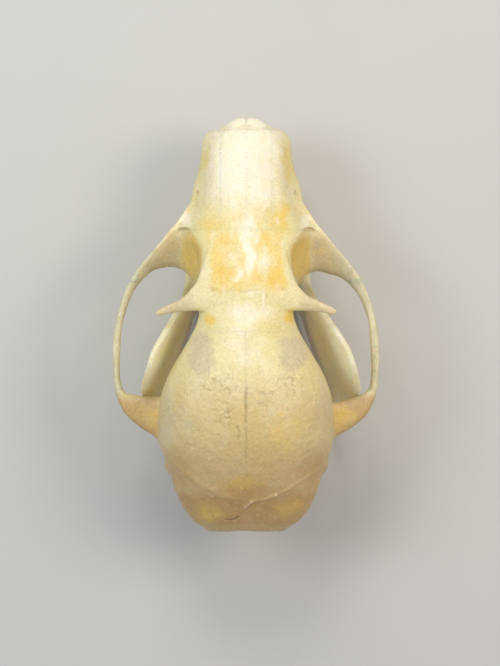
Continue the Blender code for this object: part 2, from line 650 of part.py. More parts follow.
def whole_cranium():
    """Upper skull in one piece with its openings and teeth, before it is parted into bones. The
    thick forms are fused and rounded off first, so that the thin ones keep their thickness."""
    thick = [
        oval_body("braincase", BRAINCASE),
        face_body(FACE),
        oval_body("tooth_block", TOOTH_BLOCK, square=0.75),
        oval_body("front_bump", FRONT_BUMP),
        oval_body("palate_rear", PALATE_REAR, square=0.75),
    ]
    thin = [neck_crest()]
    teeth = []
    for side in (LEFT, RIGHT):
        thick += [ball("swelling", sizes, side) for sizes in (CANINE_SWELLING, MASTOID, NECK_KNOB)]
        thick.append(cheek_arch("arch_root", CHEEK_ARCH[:7], side))
        thin += [
            cheek_arch("cheek_arch", CHEEK_ARCH, side),
            flat_bar("orbit_rim", ORBIT_RIM, side),
            brow(side),
            flat_bar("wing_plate", WING_PLATE, side),
            flat_bar("wing_hook", WING_HOOK, side),
            ball("ear_bulb", EAR_BULB, side),
        ]
        teeth += [tooth(sizes, side, UPPER_GUM, -1) for sizes in UPPER_TEETH]
    skull = fused("cranium", thick, COARSE_CUBE)
    relaxed(skull, [0.5] * 7)
    moved(skull, swelling)
    hollows = [
        ball("nose_opening", NOSE_OPENING),
        ball("spinal_opening", SPINAL_OPENING),
        ball("throat_opening", THROAT_OPENING),
        ball("palate_vault", PALATE_VAULT),
    ]
    combine(skull, hollows, "DIFFERENCE")
    skull = fused("cranium", [skull, *thin], FINE_CUBE)
    pits = [ball("pit", sizes, side) for sizes in (EAR_OPENING, CHEEK_OPENING) for side in (LEFT, RIGHT)]
    combine(skull, pits, "DIFFERENCE")
    skull = fused("cranium", [skull], FINE_CUBE)
    relaxed(skull, [0.6, -0.62] * 8)
    moved(skull, small_bends)
    thinned(skull, CRANIUM_TRIANGLES)
    return combine(skull, teeth, "UNION")


def whole_jaw():
    """Lower jaw in one piece with its teeth, before it is parted at the chin."""
    sides = (LEFT, RIGHT)
    thick = [oval_body("chin", CHIN), *(jaw_body(side) for side in sides)]
    jaw = fused("jaw", thick, COARSE_CUBE)
    relaxed(jaw, [0.5] * 5)
    moved(jaw, swelling)
    thin = [jaw_plate(side) for side in sides] + [ball("jaw_knob", JAW_KNOB, side) for side in sides]
    jaw = fused("jaw", [jaw, *thin], FINE_CUBE)
    combine(jaw, [ball("jaw_notch", JAW_NOTCH, side) for side in sides], "DIFFERENCE")
    jaw = fused("jaw", [jaw], FINE_CUBE)
    relaxed(jaw, [0.6, -0.61] * 12)
    thinned(jaw, JAW_TRIANGLES)
    teeth = [tooth(sizes, side, LOWER_GUM, 1) for side in sides for sizes in LOWER_TEETH]
    return combine(jaw, teeth, "UNION")


def part_cranium(cranium):
    """Cuts the cranium into its bones, each giving way by the gap to those before it."""
    taken = []
    for kind, outline, start, end in BONES:
        sides = ((LEFT, kind),) if start == SINGLE else ((LEFT, f"{kind}_left"), (RIGHT, f"{kind}_right"))
        for side, name in sides:
            inset = GAP / 2 if start == PAIR else 0.0
            bone = copy_of(cranium, name)
            combine(bone, [cell(outline, start + inset, end, side, 0.0)], "INTERSECT")
            before = [cell(*earlier, GAP) for earlier in taken]
            if before:
                combine(bone, before, "DIFFERENCE")
            finish(bone, kind)
        taken += [(outline, start, end, side) for side, _ in sides]
    bpy.data.objects.remove(cranium)


def part_jaw(jaw):
    """Cuts the lower jaw at the chin and along the table, which leaves a flat wherever it rests,
    and shifts it to where it lies."""
    for side, name in ((LEFT, "mandible_left"), (RIGHT, "mandible_right")):
        half = copy_of(jaw, name)
        combine(half, [cell(JAW_OUTLINE, GAP / 2, FAR, side, 0.0)], "INTERSECT")
        finish(half, "mandible")
        moved(half, jaw_lean)
    bpy.data.objects.remove(jaw)


def main():
    for old in list(bpy.data.objects):
        bpy.data.objects.remove(old)
    part_cranium(whole_cranium())
    part_jaw(whole_jaw())


main()
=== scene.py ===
"""Dry skull of a short-nosed fruit bat with its lower jaw closed under it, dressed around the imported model.

Places are written as (out, back, up) in millimetres of this skull: distance from the midline,
positive on the animal's left, distance behind the front tip, and height above the table.
"""

import math

import bpy
import numpy as np
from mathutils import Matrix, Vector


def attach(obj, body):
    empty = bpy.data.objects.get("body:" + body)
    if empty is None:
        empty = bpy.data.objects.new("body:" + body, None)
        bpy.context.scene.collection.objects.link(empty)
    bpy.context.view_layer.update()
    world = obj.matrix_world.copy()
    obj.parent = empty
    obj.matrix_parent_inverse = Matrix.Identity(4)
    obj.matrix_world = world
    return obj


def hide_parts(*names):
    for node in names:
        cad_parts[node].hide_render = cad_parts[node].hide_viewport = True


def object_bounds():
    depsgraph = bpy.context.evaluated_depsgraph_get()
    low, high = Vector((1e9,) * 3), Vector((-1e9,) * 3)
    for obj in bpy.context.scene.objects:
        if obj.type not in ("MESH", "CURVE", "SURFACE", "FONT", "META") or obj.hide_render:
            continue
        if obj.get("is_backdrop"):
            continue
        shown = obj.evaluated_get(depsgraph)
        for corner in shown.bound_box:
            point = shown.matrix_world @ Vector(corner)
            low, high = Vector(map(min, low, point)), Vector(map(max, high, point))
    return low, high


bl_info = {
    "name": "Bat skull",
    "version": (1, 0, 0),
    "blender": (4, 5, 0),
    "location": "View3D > Sidebar > Skull",
    "description": "Bones and teeth of a dry bat skull, built around a packed model",
    "category": "Add Mesh",
}

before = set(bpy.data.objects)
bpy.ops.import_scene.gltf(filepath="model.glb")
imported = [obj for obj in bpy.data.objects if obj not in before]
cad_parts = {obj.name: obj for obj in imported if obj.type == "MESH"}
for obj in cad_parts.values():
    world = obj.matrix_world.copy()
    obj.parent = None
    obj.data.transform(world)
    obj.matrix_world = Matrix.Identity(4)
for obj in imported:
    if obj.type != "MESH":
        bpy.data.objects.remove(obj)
CAD_LOW, CAD_HIGH = (np.array(corner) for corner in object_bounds())

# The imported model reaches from 0.16 mm before the front tip to 28.62 mm behind it, which gives the
# size of one millimetre of the skull here, and the place of its midline and its table
SKULL_FRONT, SKULL_REAR = -0.16, 28.62
MM = (CAD_HIGH[1] - CAD_LOW[1]) / (SKULL_REAR - SKULL_FRONT)
ORIGIN = np.array((
    (CAD_LOW[0] + CAD_HIGH[0]) / 2,
    CAD_LOW[1] - SKULL_FRONT * MM,
    CAD_LOW[2],
))
LEFT, RIGHT = 1, -1
SIDES = (("left", LEFT), ("right", RIGHT))

# Stations of the upright ovals: back, half width, lowest level, widest level, highest level
BRAINCASE = (
    (12.4, 2.70, 7.4, 9.6, 11.7),
    (13.6, 3.15, 7.3, 9.8, 12.1),
    (14.8, 3.60, 7.3, 9.9, 12.6),
    (16.2, 4.40, 7.1, 9.9, 13.2),
    (17.8, 5.30, 6.8, 9.9, 13.75),
    (19.4, 5.85, 6.4, 9.8, 14.05),
    (21.0, 5.95, 6.1, 9.5, 14.0),
    (22.6, 5.84, 6.0, 9.2, 13.6),
    (24.2, 5.24, 6.0, 8.9, 12.9),
    (25.8, 4.80, 6.1, 8.6, 11.9),
    (27.1, 4.16, 6.3, 8.4, 10.8),
    (28.0, 3.30, 6.7, 8.3, 9.9),
    (28.5, 2.30, 7.2, 8.3, 9.3),
)
TOOTH_BLOCK = (
    (0.60, 1.95, 5.5, 6.3, 7.3),
    (0.84, 2.60, 5.3, 6.3, 7.7),
    (1.22, 2.97, 5.2, 6.3, 7.9),
    (1.80, 3.11, 5.1, 6.3, 8.1),
    (2.70, 3.18, 5.1, 6.3, 8.2),
    (3.75, 3.36, 5.2, 6.4, 8.2),
    (4.60, 3.68, 5.2, 6.5, 8.1),
    (6.20, 4.00, 5.2, 6.6, 8.0),
    (8.00, 4.20, 5.2, 6.5, 7.8),
    (9.50, 4.25, 5.2, 6.4, 7.4),
    (10.8, 4.05, 5.2, 6.3, 7.2),
    (11.6, 3.55, 5.3, 6.3, 7.1),
    (12.3, 2.80, 5.5, 6.3, 6.9),
)
FRONT_BUMP = (
    (-0.12, 0.55, 5.8, 6.3, 6.8),
    (0.02, 0.95, 5.6, 6.3, 6.95),
    (0.26, 1.38, 5.4, 6.2, 7.05),
    (0.56, 1.75, 5.3, 6.2, 7.1),
    (1.40, 2.40, 5.2, 6.2, 7.3),
)
PALATE_REAR = (
    (11.6, 3.00, 5.5, 6.1, 7.2),
    (12.6, 2.50, 5.5, 6.2, 7.6),
    (13.6, 2.05, 5.5, 6.4, 7.8),
    (14.6, 1.85, 5.6, 6.6, 7.9),
)
# Stations of the face: back, level of the roof, edge of the roof, middle of the wall and foot of
# the wall, each as (out, up), and lowest level
FACE = (
    (0.80, 8.75, 1.30, 8.50, 1.95, 7.80, 2.10, 6.90, 6.0),
    (1.40, 8.98, 1.75, 8.60, 2.40, 7.75, 2.60, 6.70, 5.8),
    (2.40, 9.27, 2.00, 8.78, 2.68, 7.85, 2.90, 6.60, 5.8),
    (4.00, 9.63, 2.08, 9.08, 2.80, 8.05, 3.20, 6.60, 5.8),
    (5.50, 9.95, 2.20, 9.38, 2.98, 8.30, 3.45, 6.70, 5.8),
    (7.00, 10.30, 2.60, 9.78, 3.65, 8.60, 4.10, 6.90, 5.8),
    (8.20, 10.72, 3.15, 10.25, 3.95, 8.95, 4.50, 7.00, 5.8),
    (9.20, 11.05, 2.80, 10.70, 3.45, 9.15, 4.40, 7.10, 5.8),
    (10.2, 11.38, 2.85, 10.95, 3.15, 9.30, 4.10, 7.10, 5.8),
    (11.1, 11.62, 3.00, 11.05, 2.95, 9.35, 3.70, 7.00, 5.8),
    (12.0, 11.85, 3.15, 11.10, 2.60, 9.30, 2.80, 7.00, 5.8),
    (13.2, 12.05, 3.10, 10.95, 2.55, 9.20, 2.10, 7.20, 5.8),
    (14.6, 12.20, 2.90, 10.60, 2.50, 9.10, 1.90, 7.20, 5.8),
)

# Stations of the flat bars: outer or front edge and inner or rear edge, each as (out, back, up),
# and half height
CHEEK_ARCH = (
    (3.30, 4.90, 6.9, 2.90, 11.2, 6.8, 0.80),
    (3.65, 5.50, 7.2, 3.40, 11.1, 6.8, 0.80),
    (4.18, 6.20, 7.5, 4.30, 10.7, 6.8, 0.72),
    (4.85, 7.20, 7.8, 5.00, 10.35, 6.85, 0.62),
    (5.50, 8.00, 7.95, 5.60, 10.25, 6.9, 0.56),
    (6.21, 8.85, 8.0, 6.10, 10.3, 7.0, 0.53),
    (6.93, 9.70, 7.95, 6.53, 10.5, 7.1, 0.52),
    (7.54, 10.45, 7.85, 6.98, 10.95, 7.25, 0.52),
    (8.02, 11.20, 7.75, 7.48, 11.5, 7.35, 0.52),
    (8.42, 12.00, 7.7, 7.90, 12.15, 7.5, 0.52),
    (8.82, 13.20, 7.75, 8.30, 13.3, 7.65, 0.51),
    (9.12, 14.60, 7.85, 8.60, 14.6, 7.8, 0.50),
    (9.24, 16.20, 7.9, 8.72, 16.2, 7.85, 0.50),
    (9.20, 17.70, 7.95, 8.72, 17.60, 7.9, 0.52),
    (9.02, 18.90, 8.0, 8.62, 18.55, 7.95, 0.56),
    (8.72, 19.78, 8.05, 8.35, 18.93, 8.05, 0.60),
    (8.20, 20.62, 8.15, 7.75, 19.10, 8.15, 0.62),
    (7.30, 21.39, 8.25, 6.90, 19.13, 8.2, 0.66),
    (6.42, 21.91, 8.35, 5.90, 19.1, 8.25, 0.72),
    (5.60, 22.60, 8.45, 4.90, 19.1, 8.3, 0.85),
)
# Small differences between the two arches: side, column of the table above that moves and by how
# much, then the column, middle and half width of the stretch where it does
ARCH_SHIFTS = (
    (RIGHT, 4, 0.55, 3, 6.1, 1.10),
    (RIGHT, 3, -0.16, 4, 11.7, 0.70),
    (RIGHT, 3, -0.11, 4, 15.5, 4.50),
    (LEFT, 4, 0.10, 3, 6.1, 0.80),
    (LEFT, 4, -0.16, 3, 4.6, 0.50),
)
BROW = (
    (2.60, 8.90, 10.45, 1.40, 9.20, 10.7, 0.35),
    (2.80, 9.45, 10.75, 1.40, 9.90, 11.0, 0.34),
    (2.93, 10.06, 10.95, 1.40, 10.7, 11.2, 0.33),
    (3.14, 10.74, 11.05, 1.50, 11.6, 11.4, 0.32),
    (3.40, 11.41, 11.08, 1.70, 12.6, 11.4, 0.32),
    (3.78, 11.92, 10.98, 2.40, 13.40, 11.2, 0.32),
    (4.22, 12.36, 10.85, 3.40, 13.33, 10.95, 0.31),
    (4.83, 12.68, 10.66, 4.25, 13.36, 10.7, 0.28),
    (5.50, 12.95, 10.45, 5.15, 13.44, 10.45, 0.25),
    (5.92, 13.15, 10.33, 5.76, 13.60, 10.33, 0.24),
    (6.16, 13.34, 10.28, 6.05, 13.60, 10.28, 0.19),
)
ORBIT_RIM = (
    (2.30, 8.60, 10.0, 2.80, 9.30, 10.60, 0.22),
    (2.60, 7.95, 9.7, 3.13, 8.78, 10.20, 0.21),
    (2.90, 7.25, 9.0, 3.57, 8.02, 9.65, 0.22),
    (3.30, 6.85, 8.3, 4.00, 7.66, 8.98, 0.19),
    (3.85, 6.75, 7.9, 4.48, 7.62, 8.44, 0.17),
    (4.40, 7.05, 7.8, 4.88, 7.82, 8.10, 0.16),
    (4.95, 7.50, 7.8, 5.32, 8.25, 7.92, 0.16),
    (5.50, 8.20, 7.8, 5.80, 8.90, 7.92, 0.14),
)
WING_PLATE = (
    (1.95, 13.4, 6.6, 1.45, 13.4, 6.6, 1.10),
    (1.95, 14.8, 6.5, 1.42, 14.8, 6.5, 1.05),
    (2.05, 16.2, 6.6, 1.52, 16.2, 6.6, 0.85),
    (2.15, 17.6, 6.8, 1.65, 17.6, 6.8, 0.60),
)
WING_HOOK = (
    (1.95, 14.4, 5.55, 1.45, 14.4, 5.55, 0.40),
    (2.10, 15.4, 5.25, 1.60, 15.4, 5.25, 0.30),
    (2.20, 16.2, 5.10, 1.80, 16.2, 5.10, 0.22),
)

# Lower jaw, one side. Body: back, out, half thickness, lowest level, highest level
JAW_BODY = (
    (0.85, 0.60, 0.50, 2.20, 3.15),
    (1.70, 1.05, 0.72, 1.10, 3.20),
    (2.80, 1.50, 0.76, 0.35, 3.20),
    (4.20, 2.00, 0.78, -0.06, 3.15),
    (6.00, 2.55, 0.76, 0.18, 3.15),
    (8.00, 3.05, 0.76, 0.45, 3.15),
    (10.0, 3.60, 0.74, 0.62, 3.20),
    (12.0, 3.92, 0.62, 0.72, 3.40),
    (13.6, 4.15, 0.45, 0.75, 3.60),
)
CHIN = (
    (0.80, 0.85, 2.20, 2.60, 3.05),
    (1.60, 1.35, 1.00, 2.20, 3.05),
    (2.80, 1.60, 0.05, 1.80, 2.90),
    (4.00, 1.70, -0.16, 1.40, 2.50),
    (5.00, 1.60, -0.10, 1.00, 1.90),
    (5.90, 1.10, 0.30, 0.90, 1.40),
)
# Upright plate: back, lower edge and upper edge, each as (out, up), and half thickness
JAW_PLATE = (
    (11.3, 3.80, 1.00, 3.95, 3.20, 0.55),
    (12.2, 3.90, 0.80, 4.40, 4.60, 0.50),
    (13.0, 4.08, 0.75, 4.88, 6.80, 0.38),
    (14.0, 4.20, 0.68, 5.50, 8.90, 0.33),
    (15.0, 4.48, 0.58, 6.08, 10.2, 0.31),
    (16.0, 4.83, 0.42, 6.62, 10.9, 0.30),
    (17.0, 5.20, 0.22, 6.95, 10.95, 0.30),
    (18.0, 5.50, 0.00, 7.28, 10.1, 0.30),
    (18.8, 5.75, -0.14, 7.50, 8.8, 0.30),
    (19.5, 5.90, -0.12, 7.15, 7.4, 0.31),
    (20.3, 6.00, 0.15, 6.65, 6.85, 0.33),
    (20.9, 6.02, 0.80, 6.40, 5.0, 0.28),
    (21.3, 6.05, 1.50, 6.25, 3.9, 0.24),
    (21.55, 6.08, 2.20, 6.15, 3.1, 0.18),
)
# How far the snout lies out of line, its left front corner is set back, and the left spike bends back
SNOUT_SHIFT, CORNER_SHIFT, SPIKE_BEND = -0.03, 0.05, 0.07
# Power of the height by which the plate leans out, and powers of the cosine that keep a bar's edges
# and the plate's rim blunt
PLATE_FLARE, BLUNT, RIM_POWER = 1.8, 0.8, 0.4
# The jaw lies a little to the right of the skull, more so the higher up
JAW_SHIFT, JAW_LEAN = -0.04, -0.030

# Ellipsoids: out, back, up, then half sizes out, back, up
CANINE_SWELLING = (2.42, 1.95, 6.3, 0.66, 0.95, 1.45)
EAR_BULB = (4.15, 22.3, 6.15, 1.15, 1.50, 1.05)
MASTOID = (4.95, 23.8, 7.40, 0.75, 1.00, 1.20)
NECK_KNOB = (2.35, 27.75, 6.95, 0.75, 0.95, 0.95)
JAW_KNOB = (6.45, 20.35, 6.82, 1.15, 0.50, 0.45)
NOSE_OPENING = (0.0, 0.80, 7.80, 1.30, 3.00, 0.78)
SPINAL_OPENING = (0.0, 28.9, 7.95, 1.95, 3.60, 1.35)
THROAT_OPENING = (0.0, 15.6, 6.75, 1.20, 2.60, 0.80)
PALATE_VAULT = (0.0, 6.6, 4.75, 2.10, 5.60, 1.05)
EAR_OPENING = (5.30, 22.2, 6.05, 0.75, 0.70, 0.50)
JAW_NOTCH = (6.2, 21.7, 5.20, 2.00, 2.10, 1.15)
CHEEK_OPENING = (3.55, 5.30, 7.60, 0.50, 0.38, 0.26)

# Teeth: out, back, height of crown, half width across the row, half length along it, share of
# that size left at the tip, lean of the tip outwards and backwards
UPPER_GUM = 5.35
UPPER_TEETH = (
    (0.36, 0.36, 1.00, 0.28, 0.19, 0.78, 0.00, 0.05),
    (0.98, 0.52, 0.95, 0.26, 0.19, 0.70, 0.03, 0.05),
    (2.50, 1.95, 2.85, 0.52, 0.72, 0.12, 0.22, 0.35),
    (2.64, 3.25, 0.55, 0.24, 0.24, 0.62, 0.00, 0.00),
    (2.95, 4.70, 1.50, 0.56, 0.98, 0.24, 0.06, 0.15),
    (3.28, 6.95, 1.18, 0.66, 1.08, 0.64, 0.00, 0.00),
    (3.60, 9.20, 1.05, 0.64, 1.04, 0.72, 0.00, 0.00),
)
LOWER_GUM = 3.05
LOWER_TEETH = (
    (0.27, 0.95, 0.80, 0.20, 0.16, 0.85, 0.00, 0.00),
    (0.73, 1.08, 0.80, 0.20, 0.17, 0.75, 0.00, 0.00),
    (1.30, 1.45, 1.80, 0.40, 0.45, 0.14, 0.08, 0.20),
    (1.66, 2.42, 0.60, 0.24, 0.25, 0.62, 0.00, 0.00),
    (1.98, 3.55, 1.35, 0.46, 0.76, 0.24, 0.00, 0.10),
    (2.50, 5.72, 1.00, 0.54, 1.02, 0.52, 0.00, 0.00),
    (3.00, 7.95, 0.95, 0.54, 1.04, 0.72, 0.00, 0.00),
    (3.45, 9.95, 0.80, 0.45, 0.74, 0.74, 0.00, 0.00),
)
ROOT_DEPTH = 0.45
# Share of a crown's steps that its walls take up, before the biting surface
WALL_SHARE = 0.7
# Cusps of a back tooth: place and half width across the tooth, then along it, and height
CUSPS = (
    (0.5, 0.35, -0.3, 0.5, 1.0),
    (-0.55, 0.3, 0.0, math.inf, 0.6),
    (0.5, 0.35, 0.6, 0.4, 0.35),
)

# Bones in the order in which they are parted from the whole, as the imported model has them:
# outline in the side view as (back, up) points, then from and to, measured out from the midline.
# A single bone runs from one side of it to the other
PAIR, SINGLE, FAR = 0.0, -9.0, 12.0
BONES = (
    ("zygomatic", ((11.3, 3.0), (18.7, 3.0), (18.7, 12.0), (11.3, 12.0)), 6.9, FAR),
    ("nasal", ((-2.0, 8.4), (7.8, 8.4), (7.8, 20.0), (-2.0, 20.0)), PAIR, 1.75),
    ("premaxilla", ((-2.0, 3.0), (1.25, 3.0), (0.95, 8.4), (-2.0, 8.4)), PAIR, 1.95),
    ("frontal", ((7.8, 8.3), (13.2, 8.3), (14.7, 9.4), (15.0, 20.0), (7.8, 20.0)), SINGLE, 9.0),
    ("parietal", ((14.4, 9.4), (23.2, 9.2), (31.0, 15.8), (31.0, 20.0), (14.4, 20.0)), PAIR, FAR),
    ("tympanic", ((20.6, 2.0), (23.9, 2.0), (23.9, 6.25), (20.6, 6.25)), 2.7, 6.5),
    ("temporal", ((16.6, 3.0), (24.6, 3.0), (24.6, 7.6), (23.2, 9.3), (16.6, 9.45)), 3.0, FAR),
    ("palatine", ((11.4, 3.0), (14.6, 3.0), (14.6, 7.4), (11.4, 7.4)), SINGLE, 9.0),
    ("sphenoid", ((12.2, 3.0), (20.4, 3.0), (20.4, 9.6), (12.2, 9.6)), SINGLE, 9.0),
    ("maxilla", ((-2.0, 3.0), (12.2, 3.0), (12.2, 20.0), (-2.0, 20.0)), PAIR, FAR),
)
LAST_BONE = "occipital"
JAW_OUTLINE = ((-2.0, 0.0), (23.0, 0.0), (23.0, 14.0), (-2.0, 14.0))

# Points round each kind of form, and steps along it: from station to station of bodies and bars,
# and over a whole ball or crown
FACE_SIDES, BAR_SIDES, BALL_SIDES, JAW_SIDES, PLATE_SIDES, CROWN_SIDES = 64, 20, 32, 24, 48, 32
BODY_STEPS, BAR_STEPS, BALL_STEPS, CROWN_STEPS = 4, 5, 26, 34
# Voxels of the two rounds in which the forms are fused
COARSE, FINE = 0.20, 0.075
# What the coarse rounding takes off on average, put back along the normals
SHRUNK = 0.05
# Numbers that mix the indices of a corner of the noise's lattice into a hash
HASH_FACTORS, HASH_MIXER = (73856093, 19349663, 83492791), 1274126177

# Ridges and grooves: path of (out, back) points, height, half width, lowest level where it counts,
# share of dirt in it
CREASES = (
    (((0.0, 18.5), (0.04, 19.3), (0.0, 20.0), (0.03, 20.8)), -0.10, 0.13, 11.0, 0.30),
    (((0.03, 20.8), (-0.02, 21.8), (0.02, 23.2)), -0.04, 0.08, 11.0, 0.12),
    (((0.62, 21.1), (0.46, 21.5), (0.52, 21.9)), -0.06, 0.09, 11.0, 0.15),
    (((-4.9, 24.1), (-3.85, 24.75), (-2.9, 25.35), (-2.0, 25.75)), 0.06, 0.10, 8.5, 0.0),
    (((-2.0, 25.75), (-1.2, 26.1), (-0.35, 26.24)), 0.13, 0.11, 8.5, 0.0),
    (((-0.35, 26.24), (0.1, 26.65), (0.4, 27.05)), 0.07, 0.09, 8.5, 0.0),
    (((4.9, 23.7), (3.7, 24.65), (2.3, 25.45), (0.75, 26.1)), 0.055, 0.24, 8.5, 0.0),
    (((1.43, 27.52), (1.2, 27.56), (0.95, 27.56), (0.7, 27.46), (0.52, 27.30)), -0.07, 0.05, 8.0, 0.95),
    (
        ((2.25, 11.9), (1.75, 12.15), (0.9, 12.0), (0.1, 12.12), (-0.8, 11.95), (-1.4, 12.05)),
        -0.045, 0.11, 11.0, 0.06,
    ),
    (((-1.35, 11.0), (-1.25, 12.4), (-1.15, 13.3)), 0.05, 0.10, 11.0, 0.0),
    (((1.30, 1.02), (0.4, 0.85), (-0.4, 0.87), (-1.5, 1.10)), -0.03, 0.06, 7.5, 0.1),
    (((-0.02, -0.5), (0.0, 0.0), (0.02, 0.2)), -0.09, 0.09, 6.0, 0.35),
)
# Pits: out, back, half size, depth
PITS = (
    (2.62, 2.10, 0.13, 0.10),
    (2.28, 12.04, 0.14, 0.11),
    (-2.48, 11.97, 0.12, 0.08),
    (1.50, 10.05, 0.06, 0.04),
    (-4.30, 19.40, 0.28, 0.05),
    (3.60, 22.40, 0.30, 0.06),
    (1.90, 23.60, 0.35, 0.05),
)
# Fields of the surface: each is a product of ramps, and a ramp names what is measured at a point,
# then where it starts and where it is full. Side is the distance from the midline, on either side
FIELDS = {
    "everywhere": (),
    "top": (("facing up", 0.1, 0.6),),
    "porous": (("facing up", 0.1, 0.6), ("back", 14.5, 17.0), ("back", 25.5, 23.0)),
    "band": (("facing up", 0.1, 0.6), ("back", 14.5, 17.0), ("back", 20.5, 18.5)),
    "rear lumps": (("back", 25.5, 27.0),),
    "forehead": (("side", 2.9, 2.2),),
    "upper face": (("facing up", -0.1, 0.5),),
    "underside": (("facing up", 0.0, -0.8),),
    "snout": (("back", 8.0, 4.5), ("side", 3.6, 1.6)),
    "middle": (("side", 1.7, 0.6),),
    "between eyes": (("back", 5.5, 8.0), ("back", 12.6, 11.6)),
    "orbit_shade": (("up", 11.2, 10.6), ("back", 7.4, 8.1)),
    "arch": (("side", 5.8, 7.0), ("back", 20.0, 18.0)),
    "arch root": (("side", 5.4, 6.4), ("back", 18.4, 19.6)),
    "arch front": (("side", 4.0, 5.0), ("back", 7.6, 8.6), ("back", 12.0, 10.5)),
    "spike": (("side", 3.2, 4.2), ("back", 12.0, 12.4), ("back", 14.4, 14.0)),
    "braincase": (("back", 13.0, 16.0),),
    # Tan and grey grow from here to the back: real stain, with painted shade
    "stained_and_shaded_back": (("back", 16.5, 20.0),),
    "old": (("back", 21.0, 24.5),),
    "rear": (("back", 25.0, 27.0),),
    "rear end": (("back", 27.2, 28.3),),
    "outer face": (("facing in", -0.2, -0.8),),
    "inner face": (("facing in", -0.2, 0.7),),
    "jaw foot": (("up", 6.0, 5.0),),
    "plate": (("up", 2.5, 4.5), ("back", 11.5, 13.0)),
    "plate side": (("up", 3.0, 6.0),),
    "plate top": (("up", 7.0, 8.0),),
}
# Lumps on the upper skull: field that they fill, height, and size and number of their noise
LUMPS = (
    ("everywhere", 0.035, 1.6, 1),
    ("everywhere", 0.018, 0.6, 2),
    ("porous", 0.016, 0.22, 3),
    ("band", 0.012, 0.22, 3),
    ("porous", 0.012, 0.42, 6),
    ("band", 0.022, 0.42, 6),
    ("rear lumps", 0.03, 0.5, 10),
)
# Rough strip behind the brow: its middle, half width and height
STRIP_BACK, STRIP_HALF, STRIP_HEIGHT = 12.4, 0.55, 0.05
# Muscle hollow on the outer face of each upright plate: middle and half sizes, and depth
JAW_HOLLOW, HOLLOW_DEPTH = ((6.0, 16.6, 5.4), (3.0, 2.4, 3.0)), 0.17

# How strongly the fields of the upper skull take each tint
STRENGTHS = {
    # Tan on the underside is painted shade
    "tan": {"arch root": 0.75, "arch front": 0.45, "underside": 0.35},
    "grey": {"spike": 0.8, "arch front": 0.7},
    "pearl": {"arch": 0.9},
    "pale": {"arch": 0.18, "spike": 0.12},
    "thin": {"arch": 0.63, "spike": 0.56},
}
# Spots: out, back, half size out, half size back, share. A spot fades between two shares of its
# half sizes
SPOT_FADE, GREY_FADE, WRINKLE_FADE = (0.3, 1.45), (0.7, 1.15), (0.2, 1.4)
# Patches of finely wrinkled bone
WRINKLES = (
    (1.90, 18.30, 1.50, 1.10, 1.0),
    (-1.20, 19.00, 0.90, 0.70, 1.0),
    (1.30, 20.20, 0.90, 0.90, 1.0),
    (-2.90, 18.00, 1.10, 1.20, 1.0),
)
WRINKLE_SIZE, WRINKLE_HEIGHT = 0.15, 0.05
# Spots where fat has stained the bone amber, where it is grey and where it is chalky
AMBER_SPOTS = (
    (2.62, 2.99, 0.35, 0.90, 0.75),
    (-2.83, 3.10, 0.35, 1.40, 0.75),
    (-2.45, 7.00, 0.55, 1.30, 0.95),
    (2.35, 7.60, 0.70, 1.20, 0.5),
    (-2.05, 11.10, 0.75, 1.10, 1.0),
    (1.76, 11.00, 1.05, 0.95, 0.9),
    (0.45, 11.50, 0.80, 0.40, 0.6),
    (1.50, 8.50, 0.60, 1.50, 0.6),
    (-1.63, 8.70, 0.50, 1.30, 0.6),
    (0.55, 6.60, 0.50, 0.35, 0.5),
    (-0.75, 7.40, 0.35, 0.60, 0.5),
    (2.57, 13.85, 0.50, 0.50, 0.8),
    (-3.04, 13.70, 0.45, 0.60, 0.9),
    (0.30, 24.80, 1.60, 0.60, 0.42),
    (-2.60, 21.30, 1.40, 1.70, 0.36),
    (2.60, 27.20, 1.20, 0.90, 0.45),
    (-3.00, 26.80, 1.10, 0.80, 0.45),
    (6.60, 20.60, 1.00, 0.80, 0.5),
    (-6.60, 20.60, 1.00, 0.80, 0.6),
    (0.48, 0.75, 0.20, 0.20, 0.6),
    (1.70, 1.15, 0.45, 0.25, 0.4),
)
GREY_SPOTS = (
    (3.00, 16.30, 0.95, 1.60, 0.85),
    (-3.15, 16.30, 1.15, 1.35, 0.8),
    (5.30, 20.50, 0.55, 2.40, 0.6),
    (-5.30, 20.00, 0.50, 2.40, 0.5),
    (3.85, 21.00, 0.35, 0.40, 0.5),
    (1.62, 22.20, 0.42, 0.42, 0.5),
    (1.20, 26.90, 1.40, 0.90, 0.25),
    (-1.60, 26.40, 1.60, 0.80, 0.2),
)
PALE_SPOTS = (
    (-0.20, 9.50, 0.45, 1.60, 1.0),
    (-0.13, 7.80, 0.75, 1.40, 0.8),
    (0.10, 15.80, 1.60, 1.90, 0.45),
    (0.30, 8.30, 0.22, 0.55, 0.6),
    (-0.75, 8.30, 0.22, 0.70, 0.6),
    (-0.10, 13.50, 1.50, 1.00, 0.6),
    (-1.10, 12.70, 0.22, 1.10, 0.6),
    (4.20, 7.00, 0.55, 0.60, 0.7),
    (-4.20, 7.00, 0.55, 0.60, 0.6),
)
# Inner edge of an eye socket as seen from above: back, side. Below it the wall of the socket is
# tinted with painted shade, within an ellipse on either side
ORBIT_EDGE = ((7.0, 4.7), (7.7, 4.0), (8.4, 3.4), (9.3, 2.95), (10.2, 3.0), (11.0, 3.35), (12.0, 4.1))
ORBITS = tuple((side * 3.90, 9.70, 1.70, 2.10, 1.0) for side in (LEFT, RIGHT))
# Tan at the rear: real stain, with painted shade
REAR_SPOTS = (
    (4.60, 24.20, 1.00, 1.60, 0.3),
    (-4.60, 24.20, 1.00, 1.60, 0.3),
    (0.0, 25.40, 1.6, 0.9, 0.8),
)
